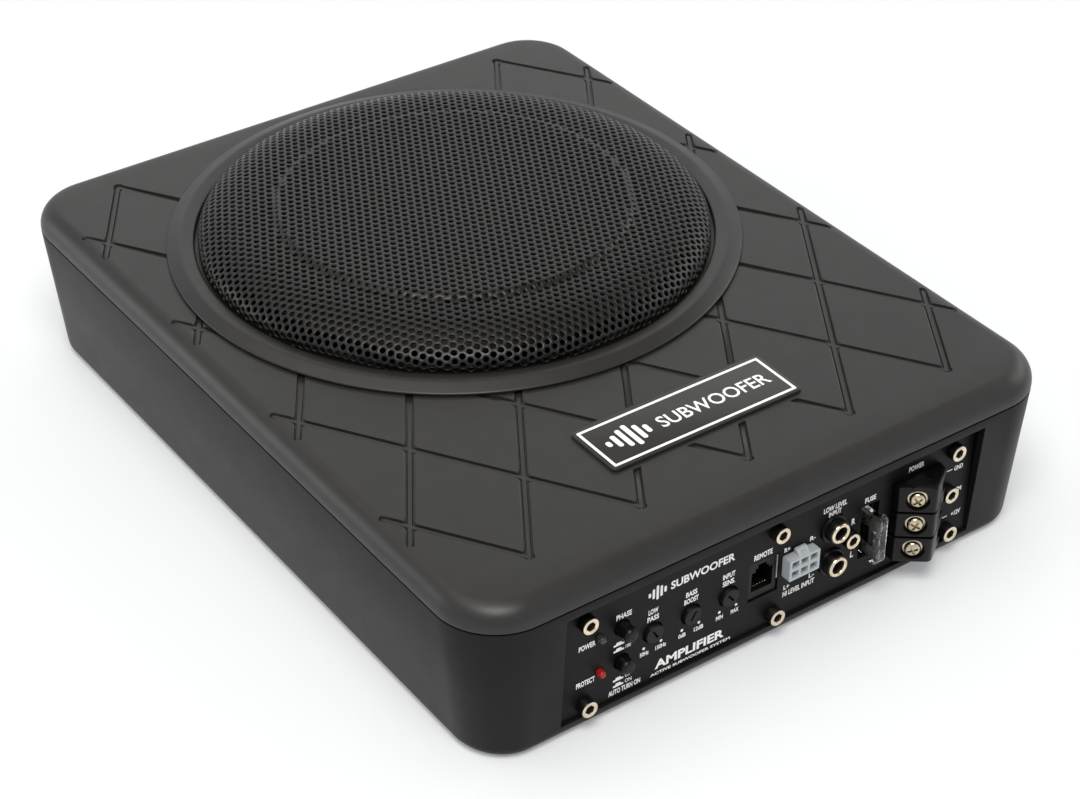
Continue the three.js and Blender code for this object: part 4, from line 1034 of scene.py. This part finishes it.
def letters(text, left, right, bottom, top, boldness):
    """The outline of a line of text as triangles in the plane, scaled to fill a box."""
    curve = bpy.data.curves.new("letters", "FONT")
    curve.body = text
    curve.offset = boldness
    curve.resolution_u = 3
    obj = bpy.data.objects.new("letters", curve)
    bpy.context.scene.collection.objects.link(obj)
    mesh = bpy.data.meshes.new_from_object(obj.evaluated_get(bpy.context.evaluated_depsgraph_get()))
    points = np.array([v.co[:] for v in mesh.vertices])
    faces = [tuple(p.vertices) for p in mesh.polygons]
    bpy.data.objects.remove(obj)
    low, high = points.min(axis=0), points.max(axis=0)
    across, up = (right - left) / (high[0] - low[0]), (top - bottom) / (high[1] - low[1])
    return [(left + (p[0] - low[0]) * across, bottom + (p[1] - low[1]) * up) for p in points], faces


class Print:
    """Thin printed marks on one plane, gathered into one piece."""

    def __init__(self, place, thickness=0.04):
        self.shape, self.place, self.thickness = Shape(), place, thickness

    def text(self, string, left, right, bottom, top, boldness):
        points, faces = letters(string, left, right, bottom, top, boldness)
        made = self.shape.points([(x, y, self.thickness) for x, y in points], self.place)
        for face in faces:
            if len(set(face)) == len(face):
                self.shape.bm.faces.new([made[i] for i in face])

    def area(self, outline, holes=()):
        plate(self.shape, outline, list(holes), self.thickness, self.thickness - 0.03, self.place)


def level_bars(sheet, left, middle, pitch, width, radius, steps, heights):
    """A generic symbol of upright bars."""
    for i, tall in enumerate(heights):
        x = left + i * pitch
        sheet.area(rectangle(x, x + width, middle - tall / 2, middle + tall / 2, radius, steps))


marks = Print(lambda point: (point[0], point[1], BADGE["top"] + point[2]))
frame_line = [[(p[0], p[1]) for p in badge_loop(0, inset)] for inset in (1.7, 2.9)]
marks.area(frame_line[0], [frame_line[1]])
level_bars(marks, -38.4, BADGE["y"], 3.5, 2.1, 0.9, 4, (3.2, 7.4, 11.2, 13.6, 9.0, 5.0))
marks.text("SUBWOOFER", -14.5, 37.0, BADGE["y"] - 3.4, BADGE["y"] + 3.4, 0.012)
marks.shape.piece("badge_marks", ink_look, slot="white_plastic", solid=False)

legends = Print(upright)
for words, *box_mm in (
    ("POWER", -89.0, -81.7, 35.9, 38.4), ("PROTECT", -90.0, -81.8, 19.2, 21.7),
    ("PHASE", -72.7, -65.9, 42.4, 44.9), ("AUTO TURN ON", -75.6, -61.3, 8.0, 10.4),
    ("LOW", -58.4, -54.0, 37.8, 40.2), ("PASS", -58.8, -53.6, 34.6, 37.0),
    ("BASS", -41.5, -36.4, 37.8, 40.2), ("BOOST", -42.2, -35.7, 34.6, 37.0),
    ("INPUT", -24.6, -18.9, 37.8, 40.2), ("SENS.", -24.6, -18.9, 34.6, 37.0),
    ("50Hz", -61.8, -57.8, 19.8, 21.8), ("150Hz", -54.8, -49.9, 19.8, 21.8),
    ("0dB", -44.3, -41.0, 19.8, 21.8), ("12dB", -37.2, -32.9, 19.8, 21.8),
    ("MIN", -27.0, -23.8, 19.8, 21.8), ("MAX", -20.1, -16.4, 19.8, 21.8),
    ("ACTIVE SUBWOOFER SYSTEM", -56.7, -19.8, 7.8, 9.1), ("REMOTE", -10.2, -1.6, 39.9, 42.5),
    ("R+", 4.2, 7.0, 37.2, 39.3), ("R-", 16.5, 19.2, 37.0, 39.1), ("L+", 5.0, 7.8, 19.1, 21.2),
    ("L-", 17.2, 19.8, 19.0, 21.1), ("HI LEVEL INPUT", 4.8, 20.1, 15.7, 18.2),
    ("LOW LEVEL", 22.3, 33.6, 46.9, 49.4), ("INPUT", 25.0, 31.1, 44.0, 46.4), ("R", 36.8, 38.6, 35.2, 38.2),
    ("L", 37.5, 39.1, 19.2, 22.3), ("FUSE", 42.8, 48.2, 42.7, 45.1), ("POWER", 64.1, 71.7, 47.8, 50.3),
    ("GND", 88.2, 92.7, 38.1, 40.3), ("REM", 89.2, 93.2, 27.0, 29.2), ("+12V", 89.3, 94.1, 15.5, 17.8),
):
    legends.text(words, *box_mm, 0.03)
legends.text("AMPLIFIER", -54.8, -22.8, 10.5, 14.6, 0.035)
legends.text("SUBWOOFER", -48.6, -19.4, 45.2, 48.9, 0.03)
level_bars(legends, -58.6, 46.9, 1.75, 1.1, 0.45, 3, (2.0, 4.4, 6.4, 4.8, 2.6))
for knob_x, _ in KNOBS.values():
    for offset in (-3.9, 3.9):
        legends.area(circle(knob_x + offset, KNOB_Z - 5.9, 0.62, 14))
for icon_z, caption_low, caption_high in ((27.8, "180°", "0°"), (11.3, "ON", "OFF")):
    for step in (0, 1):
        low = icon_z + step * 2.7
        legends.area([(-73.6, low), (-69.0, low), (-69.0, low + 0.8), (-69.9, low + 0.8), (-70.3, low + 1.6),
                      (-72.3, low + 1.6), (-72.7, low + 0.8), (-73.6, low + 0.8)])
    legends.text(caption_low, -68.3, -65.3, icon_z, icon_z + 1.7, 0.02)
    legends.text(caption_high, -68.3, -65.9, icon_z + 2.6, icon_z + 4.3, 0.02)
for line_z in (39.4, 16.8):
    legends.area(rectangle(84.6, 87.2, line_z - 0.2, line_z + 0.2))
legends.shape.piece("panel_legends", ink_look, slot="white_plastic", solid=False)


# ---- what is seen of the inside ----
for look, nodes in (
    (basket_look, ["driver_basket", "ring_magnet"]),
    (copper_look, ["voice_coil", "power_transformer"]),
    (board_look, ["control_board", "amplifier_board"]),
    (black_look, ["filter_capacitor_1", "filter_capacitor_2"]),
    (dark_metal_and_painted_reflection_look, [f"driver_screw_{number}" for number in range(1, 5)]),
    (steel_look, ["magnet_top_plate", "pole_yoke", "output_stage", "phase_switch_body", "auto_turn_on_switch_body",
                  *(f"{knob}_potentiometer" for knob in KNOBS), *(f"cover_screw_{number}" for number in range(1, 5))]),
):
    for node in nodes:
        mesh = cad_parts[node].data
        mesh.materials.clear()
        mesh.materials.append(look)


# ---- floor, light and camera ----
# The floor runs out flat and then curves up all round, so that low views have a pale background too.
sweep = [(0, 0), (2100, 0), (2500, 40), (2850, 200), (3150, 520), (3350, 1000), (3450, 1700), (3500, 3000)]
floor_look = Look("floor_paper", (0.63, 0.65, 0.67), 0.9, 0.0, 0.1)
floor_look.vary_color(floor_look.noise(400, 2), (0.62, 0.64, 0.66))
floor_look.set("Emission Color", (1.0, 1.0, 1.0, 1.0))
split = floor_look.nodes.new("ShaderNodeSeparateXYZ")
floor_look.links.new(floor_look.place, split.inputs["Vector"])
glow = floor_look.band(split.outputs["Z"], 0.0, 0.5, 0.17, 0.44)
floor_look.links.new(glow, floor_look.shader.inputs["Emission Strength"])
Shape().lathe(sweep, 96).piece("floor", floor_look.material, body=None, sharp=60, solid=False)

world = bpy.data.worlds.new("studio")
bpy.context.scene.world = world
world.use_nodes = True
world.node_tree.nodes["Background"].inputs["Color"].default_value = (1.0, 0.985, 0.965, 1.0)
world.node_tree.nodes["Background"].inputs["Strength"].default_value = 0.17


WARM = (1.0, 0.965, 0.93)


def aim(obj, location, forward):
    obj.location = location
    obj.rotation_mode = "QUATERNION"
    obj.rotation_quaternion = forward.to_track_quat("-Z", "Y")
    bpy.context.scene.collection.objects.link(obj)


def softbox(name, location, target, size, power):
    data = bpy.data.lights.new(name, "AREA")
    data.shape = "RECTANGLE"
    data.size, data.size_y = size
    data.energy = power
    data.color = WARM
    aim(bpy.data.objects.new(name, data), location, Vector(target) - Vector(location))


softbox("ceiling", (-0.35, 0.3, 1.8), (0, 0, 0), (1.8, 1.6), 14.5)
softbox("front_key", (-0.50, -0.72, 1.65), (0, 0, 0.05), (0.9, 0.8), 23)
softbox("back", (0.9, 1.5, 1.0), (0, 0, 0.05), (1.6, 1.0), 3.0)
softbox("left", (-0.78, 0.70, 0.28), (-0.13, 0.1, 0.03), (0.5, 0.4), 1.6)
softbox("right", (1.3, -0.1, 0.7), (0.13, 0, 0.04), (1.0, 0.6), 4.0)

azimuth, elevation = math.radians(-35.27), math.radians(35.65)
camera_data = bpy.data.cameras.new("camera")
camera_data.sensor_width, camera_data.lens = 36.0, 84.6333
camera_data.clip_start, camera_data.clip_end = 0.05, 30.0
camera = bpy.data.objects.new("camera", camera_data)
forward = Vector((-math.sin(azimuth) * math.cos(elevation), math.cos(azimuth) * math.cos(elevation),
                  -math.sin(elevation)))
aim(camera, (-0.4871, -0.70695, 0.6259), forward)
bpy.context.scene.camera = camera
bpy.context.scene.view_settings.view_transform = "Standard"
